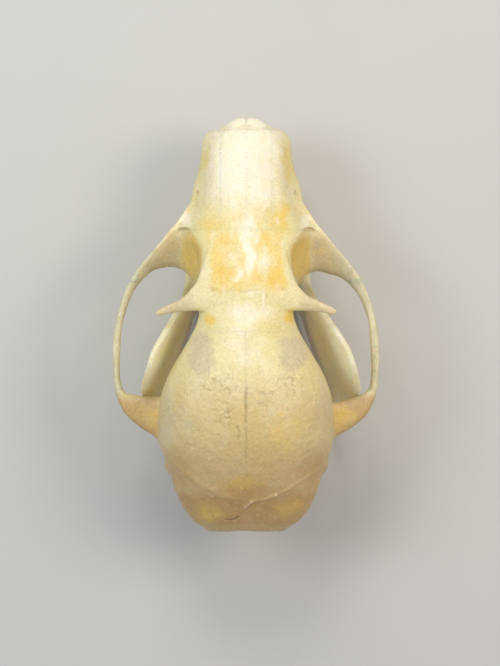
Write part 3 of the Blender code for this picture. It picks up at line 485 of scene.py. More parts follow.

# Bone: its two creams, the colour of each tint, of pores and of dirt and painted shade, and the
# tints that are broken up into patches. Tan also carries painted shade, and pale painted highlight.
# Thin lets light through, and rough is how coarse the surface is
BONE_CREAMS = ("#dfd193", "#e9e0b6")
TINT_COLOURS = {
    "tan": "#b88a44",
    "grey": "#cdbf9e",
    "pearl": "#c4c4a8",
    "amber": "#e7c766",
    "pale": "#f2ebd8",
}
PORE_COLOUR, DIRT_AND_SHADE_COLOUR = "#a67c3f", "#5a4326"
PATCHY_TINTS = ("amber", "pale")
TINTS = (*TINT_COLOURS, "dirt_and_shade", "thin", "rough")
# Sizes of the patterns in the bone, height of its bump, and how far red, green and blue light
# reach into it, all in millimetres. The streaks are also drawn out by three factors
CLOUD_SIZE, MOTTLE_SIZE, GRAIN_SIZE, PORE_SIZE, STREAK_SIZE = 3.2, 0.9, 0.16, 0.34, 0.8
BONE_BUMP, LIGHT_REACH = 0.045, (0.5, 0.3, 0.15)
STREAK_STRETCH = (1.4, 0.75, 1.0)

# Photograph: pixels per skull millimetre at its scale level, the pixel over the front tip and
# midline, and the heights of the camera and of that level
PIXELS_PER_MM = 14.47
FRAME_WIDTH, FRAME_HEIGHT = 500, 666
TIP_PIXEL = (246.2, 118.0)
CAMERA_UP, SCALE_UP = 160.0, 8.0
SENSOR_WIDTH = 36.0
# Nearest distance that the camera sees, in metres
NEAREST = 0.001
# Square lights: name, place, target, size, share of the key light's power, colour. The air lights
# all sides evenly, and the table reaches as far each way
LIGHTS = (
    ("key", (12.0, -75.0, 105.0), (0.0, 12.0, 8.0), 45.0, 1.0, "#fffaf2"),
    ("left", (95.0, -12.0, 125.0), (0.0, 14.0, 8.0), 60.0, 1.1, "#f8fffa"),
    ("right", (-95.0, -12.0, 125.0), (0.0, 14.0, 8.0), 60.0, 1.4, "#fff0dc"),
)
AIR_COLOUR = "#fdfcff"
TABLE_REACH = 3000.0


def cubic(before, start, end, after, t):
    """Catmull-Rom stretch from start to end: the cubic whose slope at each of them is half the step
    between the rows on either side of it."""
    bend = (2 * before - 5 * start + 4 * end - after) * t * t
    twist = (3 * start - before - 3 * end + after) * t**3
    return start + 0.5 * ((end - before) * t + bend + twist)


def spline(rows, steps):
    """Rows on a Catmull-Rom curve through the given rows."""
    rows = np.array(rows, float)
    ends = np.vstack((2 * rows[0] - rows[1], rows, 2 * rows[-1] - rows[-2]))
    around = (part[:, None] for part in (ends[:-3], ends[1:-2], ends[2:-1], ends[3:]))
    made = cubic(*around, (np.arange(steps) / steps)[None, :, None])
    return np.vstack((made.reshape(-1, rows.shape[1]), rows[-1:]))


def columns(rows, steps):
    """Columns of the rows on a curve through stations, each ready to be spread round a ring."""
    return spline(rows, steps).T[..., None]


def ring_curve(corners, sides):
    """Closed Catmull-Rom curve through the corners of each station, read at even steps."""
    count = corners.shape[1]
    at = np.arange(sides) * count / sides
    index = at.astype(int)
    around = (corners[:, (index + shift) % count] for shift in (-1, 0, 1, 2))
    return cubic(*around, (at - index)[None, :, None])


def circle(sides, power=1.0):
    """Cosines and sines round a circle, each to a power with its sign kept, which squares the circle
    off where the power is under 1."""
    turn = math.tau * (np.arange(sides) + 0.5) / sides
    return tuple(np.sign(part) * np.abs(part) ** power for part in (np.cos(turn), np.sin(turn)))


def smoothstep(value, start, end):
    """0 at the start and before it, 1 at the end and past it, and between them the cubic that
    leaves and arrives level. The start may be the larger of the two."""
    t = np.clip((value - start) / (end - start), 0.0, 1.0)
    return t * t * (3 - 2 * t)


def loft(rings):
    """Closed skin over rings of points: quads split in two between rings, and a fan from the middle
    of each end ring. Faces are turned outwards by the sign of the volume that they enclose."""
    count, sides = rings.shape[:2]
    points = np.vstack((rings.reshape(-1, 3), rings[[0, -1]].mean(axis=1)))
    row, column = np.meshgrid(np.arange(count - 1), np.arange(sides), indexing="ij")
    near, beside = row * sides + column, row * sides + (column + 1) % sides
    corners = [part.ravel() for part in (near, beside, beside + sides, near + sides)]
    turn = np.arange(sides)
    after = (turn + 1) % sides
    last = (count - 1) * sides
    faces = np.vstack((
        np.stack(corners[:3], axis=1),
        np.stack((corners[0], corners[2], corners[3]), axis=1),
        np.stack((np.full(sides, count * sides), after, turn), axis=1),
        np.stack((np.full(sides, count * sides + 1), last + turn, last + after), axis=1),
    ))
    if np.linalg.det(points[faces]).sum() < 0:
        faces = faces[:, ::-1]
    return points, faces


def skin(out, back, up):
    """Closed skin over a surface given by its three coordinates along and round it."""
    return loft(np.stack(np.broadcast_arrays(out, back, up), axis=-1))


def joined(shapes):
    """Several skins as one list of points and one of triangles."""
    starts = np.cumsum([0] + [len(points) for points, _ in shapes])
    faces = [faces + start for (_, faces), start in zip(shapes, starts)]
    return np.vstack([points for points, _ in shapes]), np.vstack(faces)


def oval_body(rows, sides=48, square=0.9):
    """Upright oval at each station: out is the half width times the cosine, and up rises from the
    widest level by the sine times the room above or below it."""
    back, half, low, wide, top = columns(rows, BODY_STEPS)
    across, rise = circle(sides, square)
    return skin(half * across, back, wide + rise * np.where(rise > 0, top - wide, wide - low))


def face_body(rows):
    """House-shaped section at each station, a closed curve through the roof, its edge, the middle
    and the foot of the wall and the underside, the same on both sides."""
    back, top, roof, roof_up, wall, wall_up, foot, foot_up, low = spline(rows, BODY_STEPS).T
    none = np.zeros_like(back)
    out = np.stack((none, roof, wall, foot, none, -foot, -wall, -roof), axis=1)
    up = np.stack((top, roof_up, wall_up, foot_up, low, foot_up, wall_up, roof_up), axis=1)
    curve = ring_curve(np.stack((out, up), axis=-1), FACE_SIDES)
    return skin(curve[..., 0], back[:, None], curve[..., 1])


def flat_bar(rows, side, sag=0.0):
    """Bar between two edges: across runs from the inner edge to the outer one by the cosine, and
    the half height stands up by the sine, less a sag in the middle."""
    rows = spline(rows, BAR_STEPS)
    outer, inner, half = rows[:, None, 0:3], rows[:, None, 3:6], rows[:, None, 6]
    across, rise = circle(BAR_SIDES, BLUNT)
    points = (outer + inner) / 2 + (outer - inner) / 2 * across[:, None]
    width = np.linalg.norm(outer - inner, axis=-1)
    points[..., 2] += half * rise - sag * width * (1 - across**2)
    return loft(points * (side, 1, 1))


def ball(sizes, side=LEFT):
    """Ellipsoid with three half sizes, its poles in front and behind."""
    out, back, up, half_out, half_back, half_up = sizes
    along = np.linspace(0, math.pi, BALL_STEPS)[1:-1, None]
    across, rise = circle(BALL_SIDES)
    return skin(
        side * out + half_out * np.sin(along) * across,
        back - half_back * np.cos(along),
        up + half_up * np.sin(along) * rise,
    )


def cheek_arch(rows, side):
    """Cheek arch, its edge moved a little on each side by bells along it."""
    plain = np.array(rows)
    rows = plain.copy()
    for where, moved_column, amount, column, middle, width in ARCH_SHIFTS:
        if where == side:
            rows[:, moved_column] += amount * np.exp(-((plain[:, column] - middle) / width) ** 2)
    return flat_bar(rows, side, sag=0.03)


def brow(rows, side):
    """Brow bar with its spike. The left spike bends a little further back."""
    rows = spline(rows, 1)
    if side == LEFT:
        rows[:, [1, 4]] += SPIKE_BEND * smoothstep(rows[:, 0:1], 3.6, 5.2)
    return flat_bar(rows, side)


def jaw_body(rows, side):
    """Tooth-bearing bar of the lower jaw: an oval across at each station."""
    back, out, half, low, top = columns(rows, BODY_STEPS)
    across, rise = circle(JAW_SIDES, BLUNT)
    return skin(side * out + half * across, back, (low + top) / 2 + rise * (top - low) / 2)


def jaw_plate(rows, side):
    """Upright plate for the jaw muscles: a thin oval at each station whose middle line leans
    outwards by a power of the height, so that it flares towards its top."""
    back, low_out, low, top_out, top, half = columns(rows, BAR_STEPS)
    share = 0.5 + 0.5 * circle(PLATE_SIDES, BLUNT)[1]
    out = low_out + (top_out - low_out) * share**PLATE_FLARE
    out = out + half * circle(PLATE_SIDES, RIM_POWER)[0]
    return skin(side * out, back, low + (top - low) * share)


def mesh_of(name, points, faces):
    """Mesh from whole arrays of points and of triangles or quads."""
    mesh = bpy.data.meshes.new(name)
    mesh.vertices.add(len(points))
    mesh.vertices.foreach_set("co", np.asarray(points, np.float32).ravel())
    mesh.loops.add(faces.size)
    mesh.loops.foreach_set("vertex_index", np.asarray(faces, np.int32).ravel())
    mesh.polygons.add(len(faces))
    mesh.polygons.foreach_set("loop_start", np.arange(0, faces.size, faces.shape[1], dtype=np.int32))
    mesh.update(calc_edges=True)
    return mesh


def placed(name, data):
    """Object of a mesh, light or camera in the scene."""
    made = bpy.data.objects.new(name, data)
    bpy.context.scene.collection.objects.link(made)
    return made


def values_of(items, key, width=3, kind=np.float32):
    """One property of all the items of a mesh, such as the places of its points, as rows."""
    flat = np.empty(len(items) * width, kind)
    items.foreach_get(key, flat)
    return flat.reshape(-1, width)


def points_of(mesh):
    """Points of a mesh as rows."""
    return values_of(mesh.vertices, "co").astype(float)


def normals_of(mesh):
    """Normals at the points of a mesh as rows."""
    return values_of(mesh.vertex_normals, "vector").astype(float)


def set_points(mesh, points):
    """Moves the points of a mesh to new places."""
    mesh.vertices.foreach_set("co", points.astype(np.float32).ravel())
    mesh.update()


def apply_steps(body):
    """Puts what the object's modifiers make into its mesh."""
    graph = bpy.context.evaluated_depsgraph_get()
    made = bpy.data.meshes.new_from_object(body.evaluated_get(graph))
    body.modifiers.clear()
    body.data = made


def fuse(body, voxel):
    """One skin round all overlapping closed skins of the object, on voxels of the given size."""
    step = body.modifiers.new("fuse", "REMESH")
    step.mode = "VOXEL"
    step.voxel_size = voxel
    step.adaptivity = 0.0
    apply_steps(body)


def add_skins(body, shapes):
    """Adds closed skins to the object's mesh."""
    mesh = body.data
    mesh.calc_loop_triangles()
    faces = values_of(mesh.loop_triangles, "vertices", kind=np.int32)
    body.data = mesh_of(body.name, *joined([(points_of(mesh), faces)] + shapes))


def neighbours(mesh):
    """Both directions of every edge: the points at its start, and the points at its end."""
    one, two = values_of(mesh.edges, "vertices", 2, np.int32).T
    return np.concatenate((one, two)), np.concatenate((two, one))


def relaxed(points, pairs, shares):
    """Rows after passes that each move every one by a share of the way to its neighbours' mean."""
    starts, ends = pairs
    degree = np.bincount(starts, minlength=len(points))[:, None]
    points = points.copy()
    for share in shares:
        sums = [np.bincount(starts, points[ends, k], len(points)) for k in range(points.shape[1])]
        points += share * (np.stack(sums, axis=1) / degree - points)
    return points


def smooth(body, passes, shrink=0.5, swell=0.0):
    """Rounds a mesh off by passes towards the neighbours' mean and, where swell isn't 0, back again
    by a slightly larger share, which keeps the volume."""
    shares = [shrink, -swell] * passes if swell else [shrink] * passes
    set_points(body.data, relaxed(points_of(body.data), neighbours(body.data), shares))


def cut(body, shapes, operation="DIFFERENCE"):
    """Boolean of the object with each closed skin in turn."""
    for shape in shapes:
        cutter = placed("cutter", mesh_of("cutter", *shape))
        step = body.modifiers.new("cut", "BOOLEAN")
        step.object = cutter
        step.operation = operation
        step.solver = "MANIFOLD"
        apply_steps(body)
        bpy.data.objects.remove(cutter)


def noise(points, size, number):
    """Value noise from -1 to 1: a value drawn at each corner of a lattice of the given size by a hash
    of its three indices, blended between corners by smoothstep. Its number moves the lattice."""
    at = points / size + 71.3 + 17.9 * number
    cell = np.floor(at).astype(np.int64)
    t = smoothstep(at - cell, 0, 1)
    total = np.zeros(len(points))
    for corner in np.ndindex(2, 2, 2):
        mixed = np.bitwise_xor.reduce((cell + corner) * HASH_FACTORS, axis=1)
        mixed = (mixed ^ (mixed >> 13)) * HASH_MIXER & 0xFFFFFFFF
        drawn = ((mixed ^ (mixed >> 16)) & 0xFFFF) / 32767.5 - 1
        out, back, up = np.where(corner, t, 1 - t).T
        total += drawn * (out * back) * up
    return total


def bell(points, centre, sizes):
    """Soft blob: exp of minus the squared distance, each direction measured in its own half size."""
    return np.exp(-(((points - np.array(centre)) / np.array(sizes)) ** 2).sum(axis=1))


def distance_to_path(points, path):
    """Shortest distance from each (out, back) point to a line through several points."""
    best = np.full(len(points), np.inf)
    for start, end in zip(np.array(path[:-1]), np.array(path[1:])):
        step = end - start
        share = np.clip((points - start) @ step / (step @ step), 0, 1)[:, None]
        best = np.minimum(best, np.linalg.norm(points - start - share * step, axis=1))
    return best


def crease(points, path, width, level):
    """Share of a ridge or groove at each point: 1 on its path, falling off over its half width,
    and counted only above a level."""
    share = np.exp(-(distance_to_path(points[:, :2], path) / width) ** 2)
    return share * smoothstep(points[:, 2], level - 0.3, level)


def spots(points, table, fade=SPOT_FADE):
    """How far each point lies in any of the spots: full inside, fading out between two shares of
    the spot's half sizes."""
    total = np.zeros(len(points))
    for out, back, half_out, half_back, share in table:
        far = np.hypot((points[:, 0] - out) / half_out, (points[:, 1] - back) / half_back)
        total = np.maximum(total, share * (1 - smoothstep(far, *fade)))
    return total


def fields(points, normals):
    """Share of every field at each point: the product of its ramps, each a smoothstep of one of the
    distances of the point or of how far the surface there faces up or towards the midline."""
    out, back, up = points.T
    measures = {
        "side": np.abs(out),
        "back": back,
        "up": up,
        "facing up": normals[:, 2],
        "facing in": -normals[:, 0] * np.sign(out),
    }
    return {
        name: math.prod(smoothstep(measures[measure], start, end) for measure, start, end in ramps)
        for name, ramps in FIELDS.items()
    }


def bent(points):
    """Points of the upper skull with the small bends of this one: the snout leans to the right, and
    its left front corner is set back."""
    front = smoothstep(points[:, 1], 9.5, 6.5)
    corner = bell(points[:, :2], (2.0, 0.55), (0.75, 0.7))
    return points + np.stack((SNOUT_SHIFT * front, CORNER_SHIFT * corner, 0 * front), axis=1)


def wrinkled(points):
    """Fine wrinkles in the patches: a noise stretched across the skull."""
    return noise(points * (0.6, 1, 1), WRINKLE_SIZE, 8) * spots(points, WRINKLES, WRINKLE_FADE)


def cranium_relief(points, normals):
    """Height to add along the normals of the upper skull: lumps in their fields, a rough strip
    behind the brow, and each ridge, groove, pit and patch of wrinkles by its own place."""
    at = fields(points, normals)
    strip = at["top"] * at["forehead"] * np.exp(-((points[:, 1] - STRIP_BACK) / STRIP_HALF) ** 2)
    height = STRIP_HEIGHT * strip * noise(points, 0.3, 7)
    for name, rise, size, number in LUMPS:
        height += rise * at[name] * noise(points, size, number)
    uneven = 0.75 + 0.5 * noise(points, 0.5, 11)
    for path, rise, width, level, _ in CREASES:
        height += rise * uneven * crease(points, path, width, level)
    for out, back, half, depth in PITS:
        far = np.hypot(points[:, 0] - out, points[:, 1] - back) / half
        height -= at["top"] * depth * np.exp(-(far**2))
    return height + at["top"] * WRINKLE_HEIGHT * wrinkled(points)


def jaw_relief(points, normals):
    """Height to add along the normals of the lower jaw: broad lumps, and the shallow muscle hollow
    on the outer face of the upright plate."""
    height = 0.03 * noise(points, 1.5, 4) + 0.012 * noise(points, 0.5, 5)
    mirrored = np.column_stack((np.abs(points[:, 0]), points[:, 1:]))
    return height - HOLLOW_DEPTH * fields(points, normals)["outer face"] * bell(mirrored, *JAW_HOLLOW)


def carve(body, relief):
    """Moves each point along its normal by the relief there."""
    points, normals = points_of(body.data), normals_of(body.data)
    set_points(body.data, points + normals * relief(points, normals)[:, None])


def rounded_forms(name, shapes, passes):
    """Thick forms fused coarsely and rounded off, then brought back to their size."""
    body = placed(name, mesh_of(name, *joined(shapes)))
    fuse(body, COARSE)
    smooth(body, passes)
    carve(body, lambda points, normals: np.full(len(points), SHRUNK))
    return body


def both(maker, *tables):
    """What a maker makes on the left and on the right, from each of several tables."""
    return [maker(table, side) for side in (LEFT, RIGHT) for table in tables]


def whole_cranium():
    """Upper skull in one skin: thick forms rounded off, hollows, then thin forms and the surface."""
    body = rounded_forms("cranium", [
        oval_body(BRAINCASE, 64),
        face_body(FACE),
        oval_body(TOOTH_BLOCK, square=0.75),
        oval_body(FRONT_BUMP),
        oval_body(PALATE_REAR, square=0.75),
        *both(ball, CANINE_SWELLING, MASTOID, NECK_KNOB),
        *both(cheek_arch, CHEEK_ARCH[:7]),
    ], 7)
    cut(body, [ball(sizes) for sizes in (NOSE_OPENING, SPINAL_OPENING, THROAT_OPENING, PALATE_VAULT)])
    add_skins(body, [
        *both(cheek_arch, CHEEK_ARCH),
        *both(flat_bar, ORBIT_RIM, WING_PLATE, WING_HOOK),
        *both(brow, BROW),
        *both(ball, EAR_BULB),
    ])
    fuse(body, FINE)
    cut(body, both(ball, EAR_OPENING, CHEEK_OPENING))
    smooth(body, 8, 0.6, 0.62)
    carve(body, cranium_relief)
    set_points(body.data, bent(points_of(body.data)))
    return body


def whole_jaw():
    """Lower jaw in one skin: body and chin rounded off, then plate and knob, the notch under the
    knob, and a flat wherever it rests on the table."""
    body = rounded_forms("jaw", [oval_body(CHIN), *both(jaw_body, JAW_BODY)], 5)
    add_skins(body, both(jaw_plate, JAW_PLATE) + both(ball, JAW_KNOB))
    fuse(body, FINE)
    cut(body, both(ball, JAW_NOTCH))
    fuse(body, FINE)
    smooth(body, 25, 0.6, 0.61)
    carve(body, jaw_relief)
    cut(body, [prism(JAW_OUTLINE, -FAR, FAR, LEFT)], "INTERSECT")
    return body


def shifted_jaw(points):
    """Points of the lower jaw moved to where it lies: sideways by a shift that grows with height."""
    return points + (JAW_SHIFT + JAW_LEAN * points[:, 2:]) * (1, 0, 0)


def prism(outline, start, end, side):
    """Block that holds one bone: its outline in the side view, from one distance out to another."""
    shape = np.array(outline)
    levels = side * np.array((start, end), float)
    return loft(np.stack([np.column_stack((np.full(len(shape), out), shape)) for out in levels]))


def part_off(body, shape):
    """Mesh of what the block holds of the body, which loses it."""
    held = placed("held", body.data.copy())
    cut(held, [shape], "INTERSECT")
    cut(body, [shape])
    mesh = held.data
    bpy.data.objects.remove(held)
    return mesh


def worn_and_hollow(body):
    """Two shares at each point of a mesh, for edges that stand out and for hollows: how far the
    point moves along its normal when the mesh is rounded off, out of a hollow or into an edge.
    The tints make the edges pale, part wear and part painted highlight, and the hollows tan, as
    painted shade."""
    points, normals = points_of(body.data), normals_of(body.data)
    moved = ((relaxed(points, neighbours(body.data), [0.6] * 10) - points) * normals).sum(axis=1)
    return smoothstep(moved, -0.006, -0.05), smoothstep(moved, 0.004, 0.045)


def set_tints(body, tints):
    """Stores each tint at the points, none of those that aren't given, and a mark that tells these
    points from the ones that cuts will add."""
    count = len(body.data.vertices)
    shares = {**dict.fromkeys(TINTS, np.zeros(count)), **tints, "kept": np.ones(count)}
    for key, values in shares.items():
        layer = body.data.attributes.new(key, "FLOAT", "POINT")
        layer.data.foreach_set("value", values.astype(np.float32))


def mend_tints(mesh):
    """Gives each point that a cut added the mean tints of the marked points beside it."""
    if "kept" not in mesh.attributes:
        return
    kept = values_of(mesh.attributes["kept"].data, "value", 1)[:, 0] > 0.5
    starts, ends = neighbours(mesh)
    count = np.maximum(np.bincount(starts, kept[ends], len(kept)), 1)
    for key in TINTS:
        tint = values_of(mesh.attributes[key].data, "value", 1)[:, 0]
        mean = np.bincount(starts, kept[ends] * tint[ends], len(kept)) / count
        mended = np.where(kept, tint, mean).astype(np.float32)
        mesh.attributes[key].data.foreach_set("value", mended)


def strongest(*shares):
    """The largest of several shares at each point."""
    return np.maximum.reduce(shares)


def by_fields(tint, at):
    """Share of a tint of the upper skull at each point by the fields alone."""
    return strongest(*(strength * at[name] for name, strength in STRENGTHS[tint].items()))


def orbit_wall(points):
    """Share of painted shade at each point on the inner wall of an eye socket: outside the edge that
    is seen from above, within an ellipse, and less towards the outer corner."""
    side, back = np.abs(points[:, 0]), points[:, 1]
    edge = np.interp(back, *np.array(ORBIT_EDGE).T) + 0.08 * noise(points, 0.4, 18)
    outer = smoothstep(side + 0.2 * noise(points, 0.8, 19), 4.0, 4.6)
    return smoothstep(side - edge, -0.10, 0.12) * spots(points, ORBITS) * (1 - 0.6 * outer)


def cranium_tints(body):
    """How much of each tint the upper skull has at each point: snout and streaks pale, the space
    between the eyes amber, arches pearl and spikes grey, and tan on the roots of the arches.
    Painted shade and highlight come in too: tan with amber in the orbits, tan in hollows and
    underneath, tan that grows towards the back as real stain with painted shade, dirt in the
    cracks and painted shade in the wrinkle furrows, and pale on edges that stand out, part wear
    and part painted highlight. Noise bends the outlines of the spots."""
    points, normals = points_of(body.data), normals_of(body.data)
    bends = [0.26 * noise(points, 0.9, k) + 0.10 * noise(points, 0.35, k) for k in (12, 13, 14)]
    places = points + np.stack(bends, axis=1)
    at, near = fields(points, normals), fields(places, normals)
    worn_and_lit, shaded_hollow = worn_and_hollow(body)
    upward, arch = at["upper face"], by_fields("pearl", at)
    snout = near["snout"] * (0.75 + 0.25 * near["middle"] + 0.15 * noise(points, 1.4, 17))
    between = 0.4 * near["between eyes"] * at["forehead"]
    streaks = between * noise(places * (1.9, 0.9, 1), 0.9, 15)
    # Painted shade on the walls of the eye sockets, laid in as tan with amber
    orbit_shade = at["orbit_shade"] * orbit_wall(points)
    # Tan and grey that grow towards the back: real stain, with painted shade
    stained_and_shaded_back = 0.55 * at["stained_and_shaded_back"] + 0.45 * at["old"]
    rear = 0.6 * strongest(at["rear"] * (1 - 0.8 * at["rear end"]), spots(places, REAR_SPOTS))
    tan = strongest(by_fields("tan", at), 0.55 * orbit_shade, 0.65 * stained_and_shaded_back + rear)
    cracks = [share * crease(points, path, width, level) for path, _, width, level, share in CREASES]
    # Dark in the wrinkle furrows: painted shade, with some real dirt
    shaded_furrows = 0.35 * upward * np.clip(-wrinkled(points) - 0.10, 0, 0.6)
    grey = upward * spots(places, GREY_SPOTS, GREY_FADE)
    fat = upward * strongest(spots(places, AMBER_SPOTS), between - 1.2 * streaks)
    chalk = upward * strongest(snout, spots(places, PALE_SPOTS), 2.2 * streaks)
    # Pale on edges that stand out: real wear, and painted highlight
    edges = 0.5 * worn_and_lit * (1 - arch) * (1 - 0.48 * at["spike"])
    coarse = 1 + upward * spots(places, WRINKLES, WRINKLE_FADE)
    return {
        # Tan in the hollows is painted shade
        "tan": np.clip(tan + 0.3 * shaded_hollow, 0, 1),
        "grey": strongest(by_fields("grey", at), grey, 0.25 * stained_and_shaded_back),
        "pearl": arch,
        "amber": strongest(fat, 0.72 * orbit_shade),
        "pale": strongest(by_fields("pale", at), chalk, edges),
        "dirt_and_shade": strongest(*cracks, shaded_furrows) * (0.75 + 0.35 * noise(points, 0.35, 16)),
        "thin": by_fields("thin", at),
        "rough": 0.5 * at["braincase"] * (1 - arch) * coarse,
    }


def jaw_tints(body):
    """How much of each tint the lower jaw has at each point: paler along the upper rim of the
    plates as a painted highlight, and painted light on their inner faces, which lie in the skull's
    shadow; a little tan as painted shade in hollows and underneath; pale on edges low on the jaw,
    part wear and part painted highlight."""
    points, normals = points_of(body.data), normals_of(body.data)
    at = fields(points, normals)
    worn_and_lit, shaded_hollow = worn_and_hollow(body)
    rows = spline(JAW_PLATE, BODY_STEPS)
    edge = np.interp(points[:, 1], rows[:, 0], rows[:, 4])
    lit_rim = smoothstep(points[:, 2] - edge, -0.9, -0.3) * at["plate top"]
    return {
        "tan": (0.3 * shaded_hollow + 0.3 * at["underside"]) * (1 - lit_rim),
        "grey": 0.5 * lit_rim,
        "amber": 0.10 * at["inner face"] * at["plate side"] * (1 - lit_rim),
        # Pale: painted highlight on the rim, painted light on the shaded inner faces, and wear with painted
        # highlight on low edges
        "pale": strongest(0.3 * worn_and_lit * at["jaw foot"], 0.45 * lit_rim, 0.9 * at["inner face"]),
        "thin": at["plate"],
    }


def linear(code):
    """Linear colour from an sRGB hex code."""
    parts = [int(code[i:i + 2], 16) / 255 for i in (1, 3, 5)]
    return tuple(c / 12.92 if c <= 0.04045 else ((c + 0.055) / 1.055) ** 2.4 for c in parts) + (1.0,)


def fill(tree, node, inputs):
    """Gives each input of a node, by name or number, a link from a socket or else a plain value."""
    for key, value in inputs.items():
        if isinstance(value, bpy.types.NodeSocket):
            tree.links.new(value, node.inputs[key])
        else:
            node.inputs[key].default_value = value


def add(tree, kind, *values, inputs=None, output=0, **settings):
    """Adds a node of a kind with its settings, the first inputs in order and others by name or
    number, and hands over one of its outputs."""
    node = tree.nodes.new("ShaderNode" + kind)
    for key, value in settings.items():
        setattr(node, key, value)
    fill(tree, node, {**dict(enumerate(values)), **(inputs or {})})
    return node.outputs[output]


def pattern(tree, kind, millimetres, inputs, **settings):
    """Pattern on Object coordinates whose features have a size in millimetres."""
    place = add(tree, "TexCoord", output="Object")
    scale = 1 / (millimetres * MM)
    return add(tree, kind, inputs={"Vector": place, "Scale": scale, **inputs}, **settings)


def new_material(name):
    """New material with its node tree and its shader."""
    material = bpy.data.materials.new(name)
    material.use_nodes = True
    return material, material.node_tree, material.node_tree.nodes["Principled BSDF"]


def tinted_cream(tree, clouds, mottle, veil):
    """Two creams that drift over the bone, and over them each tint: amber and pale are broken up
    into streaks and patches by the veil, and the others by the mottle."""
    dark, light = (linear(code) for code in BONE_CREAMS)
    drift = add(tree, "MapRange", clouds, 0.34, 0.68)
    colour = add(tree, "Mix", inputs={0: drift, 6: dark, 7: light}, output=2, data_type="RGBA")
    broken = add(tree, "MapRange", mottle, 0.30, 0.70, 0.75, 1.10)
    patchy = add(tree, "Math", veil, 1.2, -0.6, operation="MULTIPLY_ADD")
    for name, code in TINT_COLOURS.items():
        share = add(tree, "Attribute", output="Fac", attribute_name=name)
        if name in PATCHY_TINTS:
            uneven = add(tree, "Math", patchy, share, operation="ADD")
            amount = add(tree, "MapRange", uneven, 0.12, 0.90, 0.0, 0.95)
        else:
            amount = add(tree, "Math", share, broken, operation="MULTIPLY", use_clamp=True)
        over = {0: amount, 6: colour, 7: linear(code)}
        colour = add(tree, "Mix", inputs=over, output=2, data_type="RGBA")
    return colour


def bleached_bone():
    """Bleached bone: a cream mineral skin with a soft gloss. It gives the eye warm cream that runs
    from chalk white on the snout to amber where fat is left, with brown pores. The grain and the
    pores are drawn coarser than real ones, so that they show."""
    material, tree, shader = new_material("bleached_bone")
    clouds = pattern(tree, "TexNoise", CLOUD_SIZE, {"Detail": 4.0, "Roughness": 0.55, "Distortion": 0.6})
    mottle = pattern(tree, "TexNoise", MOTTLE_SIZE, {"Detail": 5.0, "Roughness": 0.62})
    grain = pattern(tree, "TexNoise", GRAIN_SIZE, {"Detail": 3.0, "Roughness": 0.65})
    pores = pattern(tree, "TexVoronoi", PORE_SIZE, {"Randomness": 1.0})
    place = add(tree, "TexCoord", output="Object")
    drawn_out = add(tree, "VectorMath", place, STREAK_STRETCH, operation="MULTIPLY")
    drawn = {"Vector": drawn_out, "Detail": 2.5, "Distortion": 0.5}
    streaks = pattern(tree, "TexNoise", STREAK_SIZE, drawn)
    rough, thin, dirt_and_shade = (
        add(tree, "Attribute", output="Fac", attribute_name=name) for name in ("rough", "thin", "dirt_and_shade")
    )

    braincase = add(tree, "Math", rough, 2.0, operation="MULTIPLY", use_clamp=True)
    veil = add(tree, "Mix", inputs={0: braincase, 2: streaks, 3: mottle}, data_type="FLOAT")
    colour = tinted_cream(tree, clouds, mottle, veil)
    speck = add(tree, "MapRange", grain, 0.36, 0.60, 0.82, 1.06)
    grainy = add(tree, "MapRange", rough, 0.5, 1.0, 0.55, 1.0)
    speckled = {0: grainy, 6: colour, 7: speck}
    colour = add(tree, "Mix", inputs=speckled, output=2, data_type="RGBA", blend_type="MULTIPLY")
    pit = add(tree, "MapRange", pores, 0.02, 0.16, 1.0, 0.0)
    pit = add(tree, "Math", pit, add(tree, "MapRange", mottle, 0.50, 0.62), operation="MULTIPLY")
    faint = add(tree, "Math", pit, 0.55, operation="MULTIPLY")
    # Pores, then real dirt in the cracks and painted shade in the wrinkle furrows
    for amount, code in ((faint, PORE_COLOUR), (dirt_and_shade, DIRT_AND_SHADE_COLOUR)):
        over = {0: amount, 6: colour, 7: linear(code)}
        colour = add(tree, "Mix", inputs=over, output=2, data_type="RGBA")

    raised = add(tree, "Math", grain, 0.8, operation="MULTIPLY")
    sunk = add(tree, "Math", pit, 1.2, operation="MULTIPLY")
    height = add(tree, "Math", raised, sunk, operation="SUBTRACT")
    strength = add(tree, "Math", rough, 1.2, 0.4, operation="MULTIPLY_ADD")
    cubed = add(tree, "Math", thin, 3.0, operation="POWER")
    depth = {"Distance": BONE_BUMP * MM, "Height": height, "Strength": strength}
    fill(tree, shader, {
        "Base Color": colour,
        "Normal": add(tree, "Bump", inputs=depth),
        "Roughness": add(tree, "MapRange", mottle, 0.3, 0.7, 0.36, 0.56),
        "IOR": 1.5,
        "Subsurface Weight": add(tree, "Math", thin, 0.65, 0.25, operation="MULTIPLY_ADD"),
        "Subsurface Radius": tuple(reach * MM for reach in LIGHT_REACH),
        "Subsurface Scale": add(tree, "Math", cubed, 3.0, 1.0, operation="MULTIPLY_ADD"),
    })
    return material


def enamel():
    """Tooth enamel: a hard glassy cap over ivory dentine. It gives the eye a paler and glossier
    surface than bone, with ivory clouds and fine lines across the growth."""
    material, tree, shader = new_material("enamel")
    streak = pattern(tree, "TexNoise", 0.7, {"Detail": 4.0, "Roughness": 0.6})
    growth = {"Distortion": 3.0, "Detail": 2.0}
    lines = pattern(tree, "TexWave", 0.5, growth, output="Fac", bands_direction="Z")
    ivory = {0: streak, 6: linear("#f6eed8"), 7: linear("#e3cd98")}
    depth = {"Strength": 0.2, "Distance": 0.01 * MM, "Height": lines}
    fill(tree, shader, {
        "Base Color": add(tree, "Mix", inputs=ivory, output=2, data_type="RGBA"),
        "Normal": add(tree, "Bump", inputs=depth),
        "Roughness": add(tree, "MapRange", streak, 0.3, 0.7, 0.16, 0.30),
        "IOR": 1.63,
    })
    return material


